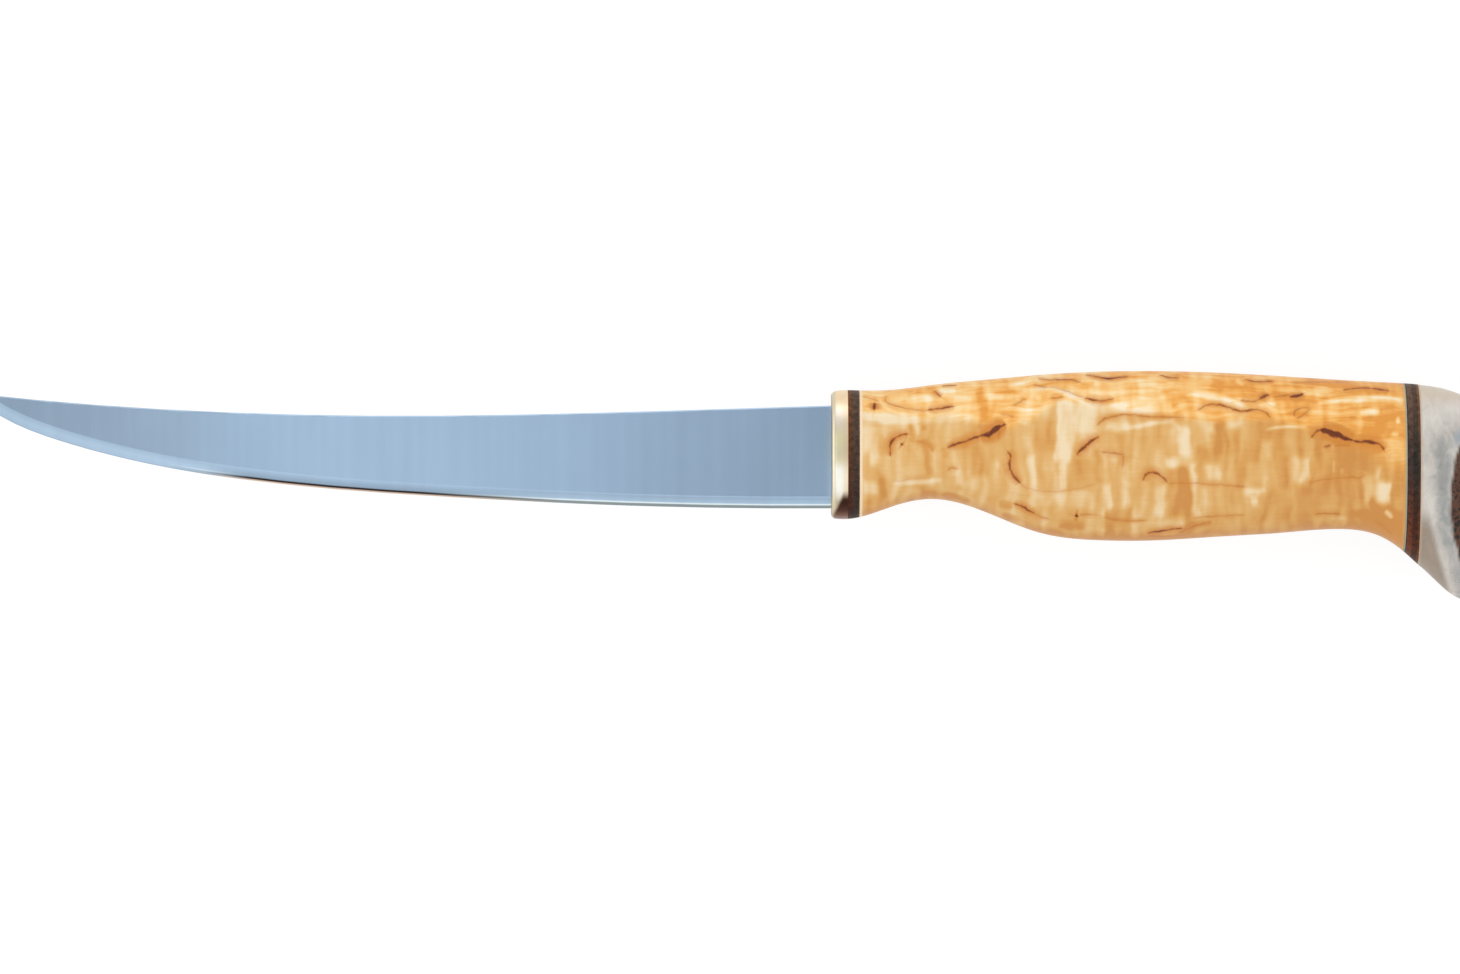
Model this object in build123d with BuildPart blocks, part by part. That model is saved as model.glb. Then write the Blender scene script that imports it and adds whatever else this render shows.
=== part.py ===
import os

from build123d import *

os.makedirs("parts", exist_ok=True)

# A fixed-blade fillet knife with a hidden stick tang, lying on its side. The length runs along X
# with the point at -X, the spine faces +Y, the cutting edge faces -Y, and Z is the thickness.
# The origin is the middle of the box that the knife fills, on the surface that it lies on.
# Heights across the knife are measured from the middle line of the tang, spine side positive.

# Blade, one piece of steel with its tang
blade_length = 160.0
blade_heel_height = 19.1
blade_thickness = 2.0
blade_tip_thickness = 1.0
blade_spine_radius = 0.3
bevel_width = 2.2
edge_thickness = 0.12

# Outline of the blade as shares: distance in front of the bolster by the blade's length,
# and height by the blade's height at the heel. Both lists run from the heel to the point.
spine_shares = ((0, 0.5), (0.27, 0.43), (0.51, 0.4), (0.756, 0.455), (1, 0.623))
edge_shares = (
    (0, -0.5),
    (0.129, -0.495),
    (0.27, -0.463),
    (0.406, -0.408),
    (0.617, -0.283),
    (0.756, -0.126),
    (0.896, 0.157),
    (0.966, 0.402),
    (1, 0.623),
)
# How far the bevel's grinding plane runs on past its two borders, by the bevel's width
bevel_overrun_share = 0.5
bevel_steps = 16

# Stick tang, which tapers towards its end, and how deep it sits in the antler
tang_seat = 6.35
tang_height = 9.0
tang_end_height = 5.5

# Stack of pieces on the tang, from the blade to the butt
bolster_thickness = 3.1
front_brown_washer_thickness = 0.65
front_dark_washer_thickness = 1.2
front_liner_thickness = 0.3
grip_length = 101.15
rear_black_liner_thickness = 0.35
rear_red_washer_thickness = 0.9
rear_dark_washer_thickness = 0.95
rear_brown_liner_thickness = 0.4
pommel_length = 19.0

# Oval form of the whole handle
handle_rise = 16.0
handle_drop = 15.5
handle_width = 23.0
beak_drop = 27.4
oval_fullness = 0.6
bolster_edge_radius = 1.0

# Slot for the tang through the bolster and the front washers
slot_clearance = 0.1

# Bore for the tang and its adhesive, from the front of the birch into the antler
bore_height = 11.0
bore_width = 5.0
tang_end_clearance = 1.5
cut_overrun = 1.0

# Thin pieces in front of the grip and behind it, in their order on the tang
front_stack = {
    "front_washer_brown": front_brown_washer_thickness,
    "front_washer_dark": front_dark_washer_thickness,
    "front_liner": front_liner_thickness,
}
rear_stack = {
    "rear_liner_black": rear_black_liner_thickness,
    "rear_washer_red": rear_red_washer_thickness,
    "rear_washer_dark": rear_dark_washer_thickness,
    "rear_liner_brown": rear_brown_liner_thickness,
}

# Distances behind the bolster's front face
grip_start = bolster_thickness + sum(front_stack.values())
grip_end = grip_start + grip_length
pommel_start = grip_end + sum(rear_stack.values())
handle_length = pommel_start + pommel_length
tang_length = pommel_start + tang_seat
bore_end = tang_length + tang_end_clearance

# Place of the bolster's front face, the tang's middle line and the middle of the thickness
bolster_front = (blade_length - handle_length) / 2
tang_line = (beak_drop - handle_rise) / 2
middle_plane = handle_width / 2
side_view = Plane(origin=(bolster_front, tang_line, middle_plane))
edge_view = Plane(side_view.origin, x_dir=(1, 0, 0), z_dir=(0, -1, 0))

# Form of the handle as shares, from the bolster's front face to where the butt starts to round:
# distance by the handle's length, rise by the handle's rise, drop by the handle's drop,
# half width by half of the handle's width.
form_shares = (
    (0, 0.755, 0.732, 0.8),
    (0.04, 0.775, 0.725, 0.8),
    (0.1, 0.79, 0.565, 0.79),
    (0.155, 0.847, 0.507, 0.79),
    (0.217, 0.894, 0.637, 0.84),
    (0.304, 0.956, 0.912, 0.945),
    (0.39, 0.993, 1, 0.99),
    (0.477, 1, 1, 1),
    (0.566, 0.98, 0.955, 0.985),
    (0.652, 0.942, 0.912, 0.95),
    (0.735, 0.9, 0.865, 0.91),
    (0.797, 0.873, 0.948, 0.905),
)
# The butt: distance by the handle's length, rise by the handle's rise, drop by the beak's drop,
# half width by half of the handle's width, and how far its widest place sinks, by the beak's
# drop. The last row is just ahead of the rearmost point.
butt_shares = (
    (0.855, 0.844, 0.74, 0.93, 0.03),
    (0.885, 0.812, 0.876, 0.93, 0.07),
    (0.9125, 0.747, 0.968, 0.915, 0.11),
    (0.94, 0.632, 1, 0.86, 0.16),
    (0.965, 0.45, 0.975, 0.75, 0.21),
    (0.985, 0.225, 0.885, 0.54, 0.26),
    (0.996, -0.01, 0.7, 0.28, 0.3),
)


def across(along):
    """Plane square to the knife's length, a distance behind the bolster's front face."""
    return Plane(side_view.origin + Vector(along, 0, 0), x_dir=(0, 1, 0), z_dir=(1, 0, 0))


def oval_section(along, rise, drop, half_width, sink=0.0):
    """Full oval face across the knife, with its widest place a sink below the tang line."""
    upper = oval_fullness * (rise + sink)
    lower = oval_fullness * (drop - sink)
    side = oval_fullness * half_width
    with BuildSketch(across(along)) as section:
        with BuildLine():
            Bezier((-drop, 0), (-drop, side), (-sink - lower, half_width), (-sink, half_width))
            Bezier((-sink, half_width), (upper - sink, half_width), (rise, side), (rise, 0))
            mirror(about=Plane.XZ)
        make_face()
    return section.sketch


# Handle form, the one oval body that all the pieces of the handle are ground to together
form_sections = []
for along_share, rise_share, drop_share, width_share in form_shares:
    form_sections.append(
        oval_section(
            along_share * handle_length,
            rise_share * handle_rise,
            drop_share * handle_drop,
            width_share * handle_width / 2,
        )
    )
for along_share, rise_share, drop_share, width_share, sink_share in butt_shares:
    form_sections.append(
        oval_section(
            along_share * handle_length,
            rise_share * handle_rise,
            drop_share * beak_drop,
            width_share * handle_width / 2,
            sink_share * beak_drop,
        )
    )
butt_point = across(handle_length).from_local_coords((-sink_share * beak_drop, 0, 0))
form_sections.append(Vertex(*butt_point))

with BuildPart() as handle_form:
    loft(sections=form_sections)


# Bevel, the wedge that is ground off one side of the blade, square to the cutting edge
edge_points = [
    (-along_share * blade_length, height_share * blade_heel_height)
    for along_share, height_share in edge_shares
]
spine_points = [
    (-along_share * blade_length, height_share * blade_heel_height)
    for along_share, height_share in spine_shares
]
thickness_slope = (blade_thickness - blade_tip_thickness) / blade_length
bevel_overrun = bevel_overrun_share * bevel_width

with BuildLine(side_view) as cutting_edge:
    Spline(*edge_points)

with BuildPart() as bevel_wedge:
    for step in range(bevel_steps + 1):
        place = cutting_edge.line @ (step / bevel_steps)
        backwards = -(cutting_edge.line % (step / bevel_steps))
        inwards = Vector(0, 0, 1).cross(backwards)
        border = place + inwards * bevel_width
        half_border = (blade_thickness - thickness_slope * (bolster_front - border.X)) / 2
        overcut = bevel_overrun_share * (half_border - edge_thickness / 2)
        if step == 0:
            place += backwards * cut_overrun
        with BuildSketch(Plane(place, x_dir=inwards, z_dir=backwards)):
            with BuildLine():
                Polyline(
                    (-bevel_overrun, edge_thickness / 2 - overcut),
                    (bevel_width + bevel_overrun, half_border + overcut),
                    (-bevel_overrun, half_border + overcut),
                    close=True,
                )
            make_face()
    loft()

# Blade and stick tang, one piece, ground thinner towards the point
half_tang = tang_height / 2
half_tang_end = tang_end_height / 2
half_thickness = blade_thickness / 2
half_tip_thickness = blade_tip_thickness / 2

with BuildPart() as blade:
    with BuildSketch(side_view.offset(-half_thickness)):
        with BuildLine():
            Spline(*spine_points)
            Spline(*edge_points)
            Polyline(
                edge_points[0],
                (0, -half_tang),
                (grip_start, -half_tang),
                (tang_length, -half_tang_end),
                (tang_length, half_tang_end),
                (grip_start, half_tang),
                (0, half_tang),
                spine_points[0],
            )
        make_face()
    extrude(amount=blade_thickness)

    with BuildSketch(edge_view):
        with BuildLine():
            Polyline(
                (tang_length, half_thickness),
                (0, half_thickness),
                (-blade_length, half_tip_thickness),
                (-blade_length, -half_tip_thickness),
                (0, -half_thickness),
                (tang_length, -half_thickness),
                close=True,
            )
        make_face()
    extrude(amount=blade_heel_height, both=True, mode=Mode.INTERSECT)

    spine = blade.faces().sort_by(Axis.Y)[-1]
    fillet(spine.edges().filter_by(lambda edge: edge.length > blade_length / 2), blade_spine_radius)
    add(bevel_wedge.part, mode=Mode.SUBTRACT)
    mirror(bevel_wedge.part, about=side_view, mode=Mode.SUBTRACT)

blade.part.label = "blade"
export_step(blade.part, "parts/blade.step")


# Slot and bore that the tang goes through
with BuildPart() as tang_slot:
    with BuildSketch(across(0)):
        Rectangle(tang_height + 2 * slot_clearance, blade_thickness + 2 * slot_clearance)
    extrude(amount=grip_start)

with BuildPart() as tang_bore:
    with BuildSketch(across(grip_start)):
        SlotOverall(bore_height, bore_width)
    extrude(amount=bore_end - grip_start)


def handle_slice(start, end, passage):
    """The part of the handle form between two distances, with the tang's passage cut out."""
    with BuildPart() as piece:
        add(handle_form.part)
        split(bisect_by=across(start), keep=Keep.TOP)
        split(bisect_by=across(end), keep=Keep.BOTTOM)
        add(passage, mode=Mode.SUBTRACT)
    return piece.part


# Bolster, a brass plate that the blade's shoulders seat on, with its front edge eased
with BuildPart() as bolster:
    add(handle_form.part)
    split(bisect_by=across(bolster_thickness), keep=Keep.BOTTOM)
    fillet(bolster.faces().sort_by(Axis.X)[0].edges(), bolster_edge_radius)
    add(tang_slot.part, mode=Mode.SUBTRACT)

bolster.part.label = "bolster"
export_step(bolster.part, "parts/bolster.step")


# Leather washers and fibre liners on both sides of the grip
start = bolster_thickness
for name, thickness in front_stack.items():
    washer = handle_slice(start, start + thickness, tang_slot.part)
    washer.label = name
    export_step(washer, f"parts/{name}.step")
    start += thickness

start = grip_end
for name, thickness in rear_stack.items():
    washer = handle_slice(start, start + thickness, tang_bore.part)
    washer.label = name
    export_step(washer, f"parts/{name}.step")
    start += thickness


# Grip, one block of curly birch
grip = handle_slice(grip_start, grip_end, tang_bore.part)
grip.label = "grip"
export_step(grip, "parts/grip.step")


# Pommel, the end slice of an antler with a blind hole for the tang's end
with BuildPart() as pommel:
    add(handle_form.part)
    split(bisect_by=across(pommel_start), keep=Keep.TOP)
    add(tang_bore.part, mode=Mode.SUBTRACT)

pommel.part.label = "antler_pommel"
export_step(pommel.part, "parts/antler_pommel.step")


# Adhesive that fills the bore round the tang and past its end
with BuildPart() as tang_adhesive:
    add(tang_bore.part)
    add(blade.part, mode=Mode.SUBTRACT)

tang_adhesive.part.label = "tang_adhesive"
export_step(tang_adhesive.part, "parts/tang_adhesive.step")
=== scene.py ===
import math
import random

import bmesh
import bpy
import numpy as np
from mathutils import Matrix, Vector, noise
from mathutils.bvhtree import BVHTree


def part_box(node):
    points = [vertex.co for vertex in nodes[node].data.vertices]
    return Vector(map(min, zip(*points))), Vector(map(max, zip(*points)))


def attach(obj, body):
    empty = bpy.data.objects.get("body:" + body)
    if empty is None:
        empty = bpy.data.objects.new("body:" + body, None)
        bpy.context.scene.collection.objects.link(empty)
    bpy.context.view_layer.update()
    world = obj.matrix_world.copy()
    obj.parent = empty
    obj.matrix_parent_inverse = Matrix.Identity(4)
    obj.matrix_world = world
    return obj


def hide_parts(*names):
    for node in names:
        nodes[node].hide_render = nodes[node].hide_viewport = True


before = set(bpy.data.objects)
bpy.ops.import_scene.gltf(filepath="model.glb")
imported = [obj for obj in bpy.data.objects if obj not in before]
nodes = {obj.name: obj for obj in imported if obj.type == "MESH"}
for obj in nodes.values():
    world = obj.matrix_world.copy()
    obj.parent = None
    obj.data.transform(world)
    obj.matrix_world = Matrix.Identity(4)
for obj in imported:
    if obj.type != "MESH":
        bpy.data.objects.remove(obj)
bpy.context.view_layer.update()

scene = bpy.context.scene


# The table and the light. The knife lies on its side on a white table, in a white room with plain
# soft light: the walls are bright, the ceiling is a little greyer. One soft box hangs over the
# blade and another stands on the side of the spine. The camera looks straight down from far off.
MM = 0.001
PHOTO_WIDTH = 1460
PIXEL = 0.186
CAMERA_HEIGHT = 1900.0
VIEW_CENTRE = (-2.79, 0.12)
MIDDLE = 11.5
SENSOR = 36.0
NEAREST = 0.1
TABLE_HALF = 6.0
TABLE_WHITE = "#C4C4C2"
TABLE_SHADED = "#7C7C7C"
TABLE_GLOW = 0.86
END_BOOST = 0.8
END_WALLS = (0.5, 0.9)

# The two colours that go into a colour mix, and the one that comes out
COLOUR_A, COLOUR_B, MIXED = 6, 7, 2

# The room's grey from the side of the cutting edge, at 0, over the ceiling to the spine's side
ROOM = (
    (0.0, "#AFAFAF"), (0.025, "#BCBCBC"), (0.07, "#F9F9F9"), (0.165, "#FFFFFF"), (0.325, "#FFFFFF"),
    (0.4, "#EEEEEE"), (0.5, "#AFB2B6"), (0.6, "#C0C3C6"), (0.675, "#DADADA"), (0.875, "#E6E6E6"),
    (0.95, "#F9F9F9"), (1.0, "#FFFFFF"))

# Each soft box: its place, the place it faces, its size along the knife and across in metres, and
# how bright it looks
SOFT_BOXES = {
    "box_over_blade": ((-0.09, 0.0, 0.38), (-0.09, 0.0, 0.0), (0.12, 0.4), 0.47),
    "box_on_spine_side": ((0.06, 0.6, 0.25), (0.06, 0.0, 0.01), (0.8, 0.3), 0.5),
}


def linear(code):
    """The linear colour of an sRGB hex value."""
    parts = [int(code[i:i + 2], 16) / 255 for i in (1, 3, 5)]
    return (*[p / 12.92 if p <= 0.04045 else ((p + 0.055) / 1.055) ** 2.4 for p in parts], 1.0)


def fill(tree, made, inputs):
    """Gives a node's inputs their values or links. A node stands for its first output."""
    for key, value in inputs.items():
        if isinstance(value, bpy.types.Node):
            value = value.outputs[0]
        if isinstance(value, bpy.types.NodeSocket):
            tree.links.new(value, made.inputs[key])
        else:
            made.inputs[key].default_value = value


def add_node(tree, kind, inputs=(), stops=(), **settings):
    """Adds a shader node with its settings, its ramp stops, and its inputs by name or in order."""
    made = tree.nodes.new("ShaderNode" + kind)
    for name, value in settings.items():
        setattr(made, name, value)
    if stops:
        ramp = made.color_ramp.elements
        ramp.remove(ramp[1])
        ramp[0].position = stops[0][0]
        ramp[0].color = linear(stops[0][1])
        for place, colour in stops[1:]:
            ramp.new(place).color = linear(colour)
    fill(tree, made, inputs if isinstance(inputs, dict) else dict(enumerate(inputs)))
    return made


scene.view_settings.view_transform = "Standard"

lens = bpy.data.cameras.new("camera")
lens.sensor_width = SENSOR
lens.lens = SENSOR * CAMERA_HEIGHT / (PHOTO_WIDTH * PIXEL)
lens.clip_start = NEAREST
camera = bpy.data.objects.new("camera", lens)
camera.location = (VIEW_CENTRE[0] * MM, VIEW_CENTRE[1] * MM, (MIDDLE + CAMERA_HEIGHT) * MM)
scene.collection.objects.link(camera)
scene.camera = camera

bm = bmesh.new()
bmesh.ops.create_grid(bm, x_segments=2, y_segments=2, size=TABLE_HALF)
table_mesh = bpy.data.meshes.new("table")
bm.to_mesh(table_mesh)
bm.free()
table = bpy.data.objects.new("table", table_mesh)
scene.collection.objects.link(table)

# White to the eye and in reflections, and a softer white in the light that it sends up
table_white = bpy.data.materials.new("white_table")
table_white.use_nodes = True
tree = table_white.node_tree
tree.nodes.clear()
ray = add_node(tree, "LightPath").outputs
seen = ray["Is Camera Ray"]
for kind in ("Is Glossy Ray", "Is Transmission Ray"):
    seen = add_node(tree, "Math", (seen, ray[kind]), operation="MAXIMUM")
soft_white = add_node(tree, "BsdfDiffuse", {"Color": linear(TABLE_WHITE)})
shaded = add_node(tree, "BsdfDiffuse", {"Color": linear(TABLE_SHADED)})
glow = add_node(tree, "Emission", {"Strength": TABLE_GLOW})
full_white = add_node(tree, "AddShader", (shaded, glow))
white = add_node(tree, "MixShader", (seen, soft_white, full_white))
add_node(tree, "OutputMaterial", {"Surface": white})
table_mesh.materials.append(table_white)

room = bpy.data.worlds.new("white_room")
scene.world = room
room.use_nodes = True
tree = room.node_tree
tree.nodes.clear()
way = add_node(tree, "TexCoord").outputs["Generated"]
way = add_node(tree, "SeparateXYZ", (way,)).outputs
across = add_node(tree, "MapRange", {"Value": way["Y"], "From Min": -1.0})
wall = add_node(tree, "ValToRGB", (across,), ROOM)
end_way = add_node(tree, "Math", (way["X"],), operation="ABSOLUTE")
end_way = add_node(tree, "MapRange", {
    "Value": end_way, "From Min": END_WALLS[0], "From Max": END_WALLS[1]})
wall = add_node(tree, "Mix", {0: end_way, COLOUR_A: wall, COLOUR_B: (1, 1, 1, 1)},
                data_type="RGBA").outputs[MIXED]
bright = add_node(tree, "Math", (end_way, END_BOOST, 1.0), operation="MULTIPLY_ADD")
air = add_node(tree, "Background", {"Color": wall, "Strength": bright})
add_node(tree, "OutputWorld", {"Surface": air})

for name, (place, aim, size, bright) in SOFT_BOXES.items():
    lamp = bpy.data.lights.new(name, "AREA")
    lamp.shape = "RECTANGLE"
    lamp.size, lamp.size_y = size
    lamp.energy = bright * math.pi * size[0] * size[1]
    soft_box = bpy.data.objects.new(name, lamp)
    soft_box.location = place
    soft_box.rotation_euler = (Vector(aim) - Vector(place)).to_track_quat("-Z", "Y").to_euler()
    scene.collection.objects.link(soft_box)


# The blade and its stick tang. One piece of stainless steel, ground flat on both sides and to the
# edge, then finished on a fine stone. It seats on the bolster by its shoulders, and its tang is
# glued into the handle.
BOLSTER_FRONT = 16.0
TANG_LINE = 5.7
EDGE_THICK = 0.09
SHARP_CORNER = math.radians(5)
BAND_WIDTH = 2.4
STEEL = "#A8C1DA"
PAINTED_EDGE_REFLECTION = "#8E989A"
PAINTED_DARK_EDGE_REFLECTION = "#2E2826"
PAINTED_EDGE_HIGHLIGHT = "#E4F2F8"
STEEL_ROUGH = (0.262, 0.278)

# Behind the bolster's front: where the dark painted reflection along the edge begins and is full,
# where it ends and is still full, and where the look of the point begins and is full
DARK_EDGE_FROM, DARK_EDGE_TO, POINT_FROM = (-45.0, -78.0), (-120.0, -108.0), (-106.0, -126.0)

# How the grinding stretches along, over and through the blade, how grey the steel is, and how
# much the bands, the lines and the clouds add
ACROSS_BLADE = (1, 0.012, 0.05)
STEEL_LEVEL = 0.87
BANDS_SHOW, LINES_SHOW, CLOUDS_SHOW = 0.1, 0.03, 0.14

# Colours from the cutting edge, at 0, to the flat, at 1, with painted light: near the heel a grey
# painted reflection and a pale painted highlight, along the middle a dark painted reflection, and at the
# point
HEEL_BAND = ((0.0, PAINTED_EDGE_REFLECTION), (0.2, PAINTED_EDGE_REFLECTION), (0.25, PAINTED_EDGE_HIGHLIGHT), (0.31, PAINTED_EDGE_HIGHLIGHT), (0.36, "#ACC4DA"),
             (0.75, "#9CB3CA"), (0.92, STEEL))
DARK_EDGE_BAND = ((0.0, "#DCC8B8"), (0.09, "#C4AA98"), (0.14, PAINTED_DARK_EDGE_REFLECTION), (0.24, PAINTED_DARK_EDGE_REFLECTION),
             (0.31, "#8CA2B6"), (0.5, "#94ABC0"), (0.92, STEEL))
POINT_BAND = ((0.0, "#889CAE"), (0.06, "#AAC2D8"), (0.45, "#AEC6DC"), (0.84, "#A4BCD2"), (0.92, "#A2B8CE"))


def new_finish(name):
    """A new material, its node tree, and the Principled shader already at its output."""
    made = bpy.data.materials.new(name)
    made.use_nodes = True
    tree = made.node_tree
    tree.nodes.clear()
    shader = add_node(tree, "BsdfPrincipled")
    add_node(tree, "OutputMaterial", {"Surface": shader})
    return made, tree, shader


def millimetres(tree, stretch=(1, 1, 1)):
    """Places in millimetres from the tang at the bolster's front, with a stretch along each axis."""
    place = add_node(tree, "TexCoord").outputs["Object"]
    return add_node(tree, "Mapping", {
        "Vector": place,
        "Location": [-a * b for a, b in zip((BOLSTER_FRONT, TANG_LINE, MIDDLE), stretch)],
        "Scale": [a / MM for a in stretch],
    })


def finished(bm, name, finish):
    """The bmesh as an object with its material, riding on the knife."""
    mesh = bpy.data.meshes.new(name)
    bm.to_mesh(mesh)
    bm.free()
    mesh.materials.append(finish)
    made = bpy.data.objects.new(name, mesh)
    scene.collection.objects.link(made)
    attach(made, "root")
    return made


def keep_values(piece, **fields):
    """Keeps one value for each of the piece's points under each name."""
    for name, values in fields.items():
        kept = piece.data.attributes.new(name, "FLOAT", "POINT")
        kept.data.foreach_set("value", np.asarray(values, dtype=np.float32))


def beside(places, a, b):
    """Where on the run from a at 0 to b at 1 each place is nearest to it, and its offset from there."""
    run = b - a
    t = np.clip(((places - a) @ run) / max(run @ run, 1e-9), 0, 1)
    return t, places - (a + t[:, None] * run)


bm = bmesh.new()
bm.from_mesh(nodes["blade"].data)
bmesh.ops.remove_doubles(bm, verts=bm.verts, dist=0.001 * MM)
bm.normal_update()
for f in bm.faces:
    f.smooth = True
for e in bm.edges:
    e.smooth = e.calc_face_angle(0) < SHARP_CORNER
cutting_edge = sorted(tuple(v.co.xy / MM) for v in bm.verts
                      if abs(v.co.z / MM - MIDDLE) < EDGE_THICK and v.normal.y < 0)
places = np.array([v.co.xy / MM for v in bm.verts])
from_edge = np.full(len(places), np.inf)
for a, b in zip(np.array(cutting_edge), np.array(cutting_edge[1:])):
    from_edge = np.minimum(from_edge, np.linalg.norm(beside(places, a, b)[1], axis=1))

# Satin steel: fine lines across the blade and soft bands, a little cloudy, with the ground edge, along which
# reflections and a highlight line are painted
ground_steel, tree, shader = new_finish("satin_ground_stainless_steel")
blade = finished(bm, "satin_blade", ground_steel)
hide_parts("blade")
keep_values(blade, from_edge=from_edge)

gap = add_node(tree, "Attribute", attribute_name="from_edge").outputs["Fac"]
gap = add_node(tree, "MapRange", {"Value": gap, "From Max": BAND_WIDTH})
along = add_node(tree, "SeparateXYZ", (millimetres(tree),)).outputs["X"]
# Where the edge's dark painted reflection and the point's look lie along the blade
dark_edge_from, dark_edge_to, point_from = (
    add_node(tree, "MapRange", {"Value": along, "From Min": start, "From Max": full},
             interpolation_type="SMOOTHSTEP") for start, full in (DARK_EDGE_FROM, DARK_EDGE_TO, POINT_FROM))
dark_edge = add_node(tree, "Math", (dark_edge_from, dark_edge_to), operation="MULTIPLY")
steel = add_node(tree, "ValToRGB", (gap,), HEEL_BAND)
for share, stops in ((dark_edge, DARK_EDGE_BAND), (point_from, POINT_BAND)):
    band = add_node(tree, "ValToRGB", (gap,), stops)
    steel = add_node(tree, "Mix", {0: share, COLOUR_A: steel, COLOUR_B: band},
                     data_type="RGBA").outputs[MIXED]
ground = millimetres(tree, ACROSS_BLADE)
bands = add_node(tree, "TexNoise", {"Vector": ground, "Scale": 0.45, "Detail": 0.5})
lines = add_node(tree, "TexNoise", {"Vector": ground, "Scale": 5.0, "Detail": 3.0, "Roughness": 0.6})
clouds = add_node(tree, "TexNoise", {"Vector": millimetres(tree), "Scale": 0.05, "Detail": 2.0})
grey = STEEL_LEVEL
for pattern, share in ((bands, BANDS_SHOW), (lines, LINES_SHOW), (clouds, CLOUDS_SHOW)):
    grey = add_node(tree, "Math", (pattern, share, grey), operation="MULTIPLY_ADD")
steel = add_node(tree, "Mix", {0: 1.0, COLOUR_A: steel, COLOUR_B: grey},
                 data_type="RGBA", blend_type="MULTIPLY").outputs[MIXED]
rough = add_node(tree, "MapRange", {"Value": lines, "To Min": STEEL_ROUGH[0], "To Max": STEEL_ROUGH[1]})
bump = add_node(tree, "Bump", {"Height": lines, "Strength": 0.02, "Distance": 0.01 * MM})
fill(tree, shader, {"Base Color": steel, "Roughness": rough, "Normal": bump, "Metallic": 1.0})


# The bolster. A plate of cartridge brass, slotted for the tang, ground to the oval of the handle
# with it and polished. It takes the blade's shoulders.
# Painted reflections in the polished brass: its colour by height from the foot to the spine, with pale
# painted highlights across the middle
BRASS_LOW, BRASS_HIGH = -14.0, 14.0
PAINTED_BRASS_REFLECTIONS = (
    (0.1, "#D8B98C"), (0.2, "#F6E4C4"), (0.27, "#FFFEF4"), (0.42, "#FFFDF2"), (0.48, "#FFF4CE"),
    (0.64, "#F4E8BE"), (0.7, "#EEE2CC"), (0.8, "#F0E4D8"), (0.84, "#F6E8CC"), (0.88, "#F0D6AE"))
BRASS_BACK_REFLECTION = "#F0D6B0"
BRASS_FRONT_REFLECTION = "#CEC2A6"
BRASS_EDGE_REFLECTION = "#7A5A3C"
PAINTED_DARK_REFLECTION = "#4C3026"
PAINTED_WARM_REFLECTION = "#74482E"
BRASS_ROUGH = (0.26, 0.38)
RUBBED = (1, 0.15, 0.15)

# Bands of painted reflection round the plate: where each begins and is full behind the front, and how
# strong it is. Those at the front lie only on the round side, which begins behind the flat face
BACK_BAND, FRONT_BAND, CORNER_BAND = (1.5, 2.9, 0.7), (1.0, 0.6, 0.85), (0.2, 0.1, 0.8)
SIDE_BEGINS = (0.005, 0.02)

# The painted dark reflection at the foot: how steeply its border climbs from the front, how far at
# most, how far below the tang it begins, how soft it is, and where it turns from dark to warm
REFLECTION_SLOPE, REFLECTION_CLIMB, REFLECTION_FOOT = 2.0, 4.4, 11.1
REFLECTION_SOFT, REFLECTION_WARM = (-0.7, 1.3), (-9.9, -11.0)

# Polished brass: bright and pale, a little dull in clouds, with painted reflections of the room: pale
# highlights, a dark line along the front edge, and a brown dark reflection low down at its back
polished_brass, tree, shader = new_finish("polished_cartridge_brass")
place = add_node(tree, "SeparateXYZ", (millimetres(tree),)).outputs
height = add_node(tree, "MapRange", {"Value": place["Y"], "From Min": BRASS_LOW, "From Max": BRASS_HIGH})
# Painted reflections by height, then a tan painted reflection towards the back
brass = add_node(tree, "ValToRGB", (height,), PAINTED_BRASS_REFLECTIONS)
back = add_node(tree, "MapRange", {
    "Value": place["X"], "From Min": BACK_BAND[0], "From Max": BACK_BAND[1], "To Max": BACK_BAND[2],
}, interpolation_type="SMOOTHSTEP")
brass = add_node(tree, "Mix", {0: back, COLOUR_A: brass, COLOUR_B: linear(BRASS_BACK_REFLECTION)},
                 data_type="RGBA").outputs[MIXED]
dull = add_node(tree, "TexNoise", {"Vector": millimetres(tree), "Scale": 0.5, "Detail": 3.0})
dull = add_node(tree, "MapRange", {"Value": dull, "From Min": 0.3, "From Max": 0.7, "To Min": 0.92})
brass = add_node(tree, "Mix", {0: 1.0, COLOUR_A: brass, COLOUR_B: dull},
                 data_type="RGBA", blend_type="MULTIPLY").outputs[MIXED]
turned, corner = (
    add_node(tree, "MapRange", {"Value": place["X"], "From Min": start, "From Max": full, "To Max": most})
    for start, full, most in (FRONT_BAND, CORNER_BAND))
# Painted dark reflection at the foot, its border rising from the front towards the back
low = add_node(tree, "Math", (place["X"], REFLECTION_SLOPE), operation="MULTIPLY")
low = add_node(tree, "Math", (low, REFLECTION_CLIMB), operation="MINIMUM")
low = add_node(tree, "Math", (low, REFLECTION_FOOT), operation="SUBTRACT")
low = add_node(tree, "Math", (low, place["Y"]), operation="SUBTRACT")
dark_reflection = add_node(tree, "MapRange", {"Value": low, "From Min": REFLECTION_SOFT[0], "From Max": REFLECTION_SOFT[1]},
                 interpolation_type="SMOOTHSTEP")
warm = add_node(tree, "MapRange", {
    "Value": place["Y"], "From Min": REFLECTION_WARM[0], "From Max": REFLECTION_WARM[1]})
brown = add_node(tree, "Mix", {0: warm, COLOUR_A: linear(PAINTED_DARK_REFLECTION), COLOUR_B: linear(PAINTED_WARM_REFLECTION)},
                 data_type="RGBA").outputs[MIXED]
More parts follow.
